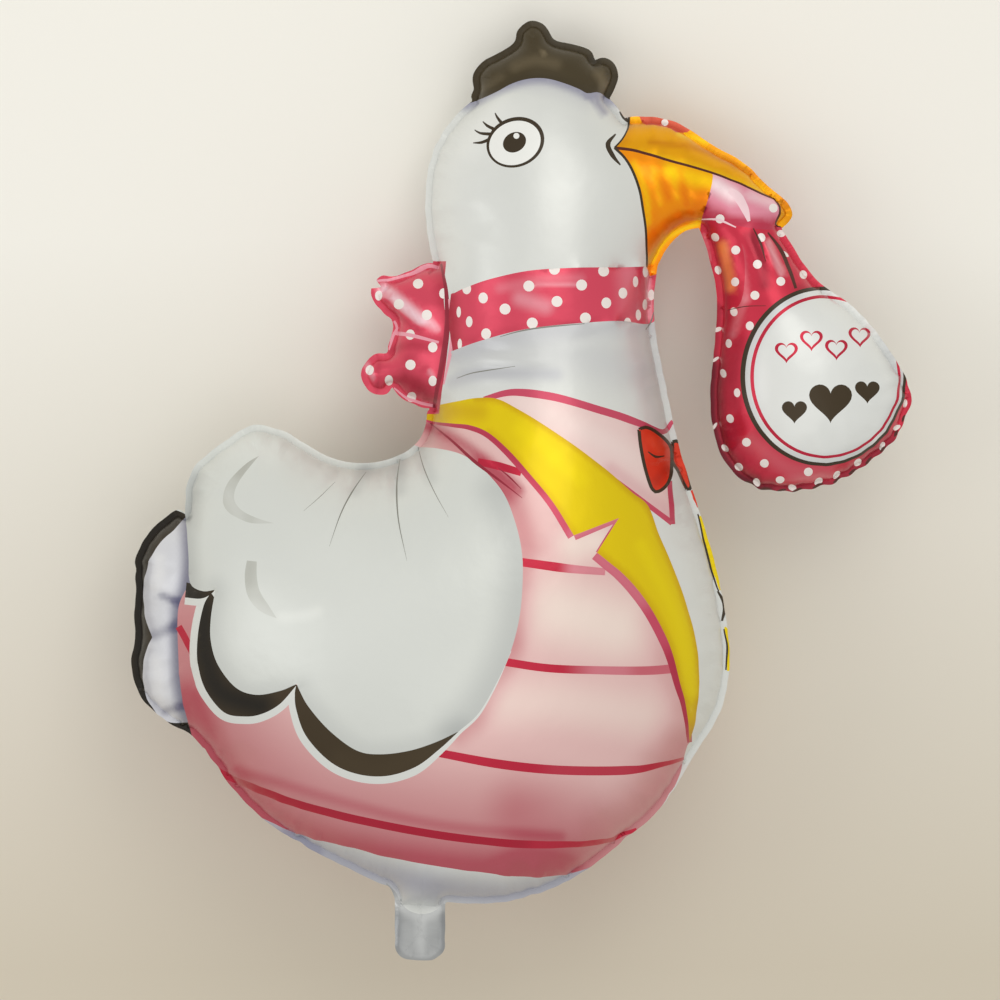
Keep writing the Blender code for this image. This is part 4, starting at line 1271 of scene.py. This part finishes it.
def printed_film(name):
    """Metallised polyester film, printed over a white ground: a satin gloss with a fine crinkle."""
    shades, roughness, metal = INKS[name]
    material = bpy.data.materials.new(name)
    material.use_nodes = True
    tree = material.node_tree
    shader = tree.nodes["Principled BSDF"]
    # The ramp darkens and lightens the ink by the corner attribute: printed shading, with painted shade,
    # painted highlights and a painted reflection.
    airbrush_and_painted_light = node(tree, "ShaderNodeAttribute", {"attribute_name": "airbrush_and_painted_light"})
    ramp = node(tree, "ShaderNodeValToRGB", links={"Fac": airbrush_and_painted_light.outputs["Fac"]})
    ramp.color_ramp.elements.new(0.5)
    for stop, place, shade in zip(ramp.color_ramp.elements, (0.0, 0.5, 1.0), shades):
        stop.position = place
        stop.color = colour(shade)
    tree.links.new(ramp.outputs["Color"], shader.inputs["Base Color"])
    shader.inputs["Metallic"].default_value = metal
    shader.inputs["IOR"].default_value = 1.5
    shader.inputs["Specular IOR Level"].default_value = 0.3
    shader.inputs["Coat Weight"].default_value = 0.12
    shader.inputs["Coat Roughness"].default_value = 0.12

    # The film lies in shallow facets about 22 mm across, with finer crinkles between them.
    spot = node(tree, "ShaderNodeTexCoord")
    facets = node(tree, "ShaderNodeTexNoise", {"Scale": 1 / (22 * MM), "Detail": 3.0,
                                               "Roughness": 0.45},
                  {"Vector": spot.outputs["Object"]})
    # Gathers too small to model run square to the weld and die out within 30 mm of it.
    weld = node(tree, "ShaderNodeUVMap", {"uv_map": "weld_run"})
    stretch = node(tree, "ShaderNodeMapping", {"Scale": (1 / (5 * MM), 1 / (40 * MM), 1.0)},
                   {"Vector": weld.outputs["UV"]})
    gathers = node(tree, "ShaderNodeTexNoise", {"Scale": 1.0, "Detail": 2.0},
                   {"Vector": stretch.outputs["Vector"]})
    off = node(tree, "ShaderNodeSeparateXYZ", links={"Vector": weld.outputs["UV"]})
    fade = node(tree, "ShaderNodeMapRange", {"From Min": 3 * MM, "From Max": 32 * MM,
                                             "To Min": 1.0, "To Max": 0.0},
                {"Value": off.outputs["Y"]})
    near = node(tree, "ShaderNodeMath", {"operation": "MULTIPLY"},
                {0: gathers.outputs["Fac"], 1: fade.outputs["Result"]})
    first = node(tree, "ShaderNodeBump", {"Strength": 0.35, "Distance": 1.6 * MM},
                 {"Height": facets.outputs["Fac"]})
    second = node(tree, "ShaderNodeBump", {"Strength": 0.5, "Distance": 1.2 * MM},
                  {"Height": near.outputs["Value"], "Normal": first.outputs["Normal"]})
    tree.links.new(second.outputs["Normal"], shader.inputs["Normal"])

    # The ground coat is a little uneven, so the gloss varies by a few hundredths.
    cloud = node(tree, "ShaderNodeTexNoise", {"Scale": 1 / (9 * MM), "Detail": 2.0},
                 {"Vector": spot.outputs["Object"]})
    gloss = node(tree, "ShaderNodeMapRange", {"To Min": roughness - 0.04, "To Max": roughness + 0.05},
                 {"Value": cloud.outputs["Fac"]})
    tree.links.new(gloss.outputs["Result"], shader.inputs["Roughness"])
    return material


def pale_floor():
    """A matt floor, far wider than the picture, with painted shade: a little warmer and darker towards
    the front.
    """
    form = bmesh.new()
    bmesh.ops.create_grid(form, x_segments=1, y_segments=1, size=6.0,
                          matrix=Matrix.Translation((0, 0, -FLOOR_GAP)))
    mesh = bpy.data.meshes.new("floor")
    form.to_mesh(mesh)
    form.free()
    floor = bpy.data.objects.new("floor", mesh)
    bpy.context.scene.collection.objects.link(floor)
    paper = bpy.data.materials.new("pale_paper")
    paper.use_nodes = True
    tree = paper.node_tree
    # Painted shade: the floor runs from a darker, warmer front to a pale back, as though less light
    # reached the front.
    spot = node(tree, "ShaderNodeTexCoord")
    away = node(tree, "ShaderNodeSeparateXYZ", links={"Vector": spot.outputs["Object"]})
    share = node(tree, "ShaderNodeMapRange", {"From Min": -0.44, "From Max": 0.20},
                 {"Value": away.outputs["Y"]})
    tone = node(tree, "ShaderNodeValToRGB", links={"Fac": share.outputs["Result"]})
    tone.color_ramp.elements[0].color = colour("D8CFBD")
    tone.color_ramp.elements[1].color = colour("FAF8F1")
    shader = tree.nodes["Principled BSDF"]
    tree.links.new(tone.outputs["Color"], shader.inputs["Base Color"])
    shader.inputs["Roughness"].default_value = 0.9
    mesh.materials.append(paper)


def picture_camera():
    """A long lens, square to the seam plane, framed as the picture is."""
    turn, on_tail, spot = lying()
    middle = Vector((*on_sheet(PICTURE_MIDDLE), 0.0))
    centre = turn @ (middle - Vector(on_tail)) + Vector(spot)
    lens = bpy.data.cameras.new("camera")
    lens.sensor_width = 36.0
    lens.lens = lens.sensor_width * CAMERA_DISTANCE / (PICTURE_WIDTH * GRID)
    camera = bpy.data.objects.new("camera", lens)
    stand = Matrix.Translation(centre + turn @ Vector((0, 0, CAMERA_DISTANCE)))
    camera.matrix_world = stand @ turn.to_4x4()
    bpy.context.scene.collection.objects.link(camera)
    bpy.context.scene.camera = camera


def soft_light(name, place, size, power, tone):
    """A square soft box that looks at the balloon."""
    light = bpy.data.lights.new(name, "AREA")
    light.size = size
    light.energy = power
    light.color = colour(tone)[:3]
    lamp = bpy.data.objects.new(name, light)
    lamp.location = place
    way = Vector((0, 0, 0.1)) - Vector(place)
    lamp.rotation_euler = way.to_track_quat("-Z", "Y").to_euler()
    bpy.context.scene.collection.objects.link(lamp)


def studio():
    """Even light from all round, with large soft boxes over the head and to the left."""
    world = bpy.data.worlds.new("studio")
    world.use_nodes = True
    world.node_tree.nodes["Background"].inputs["Color"].default_value = colour("FBFAF6")
    world.node_tree.nodes["Background"].inputs["Strength"].default_value = 0.70
    bpy.context.scene.world = world
    soft_light("box_over_head", (0.5, 1.9, 2.4), 1.6, 15, "FFFDF8")
    soft_light("box_left", (-2.2, 0.3, 2.0), 1.4, 9, "FFFFFF")
    soft_light("box_above", (0.2, -0.4, 3.6), 2.2, 9, "FFFDF9")
    bpy.context.scene.view_settings.view_transform = "Standard"
    bpy.context.scene.view_settings.look = "None"


film = balloon_film()
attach(film, "root")
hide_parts("stork_balloon")
pale_floor()
picture_camera()
studio()
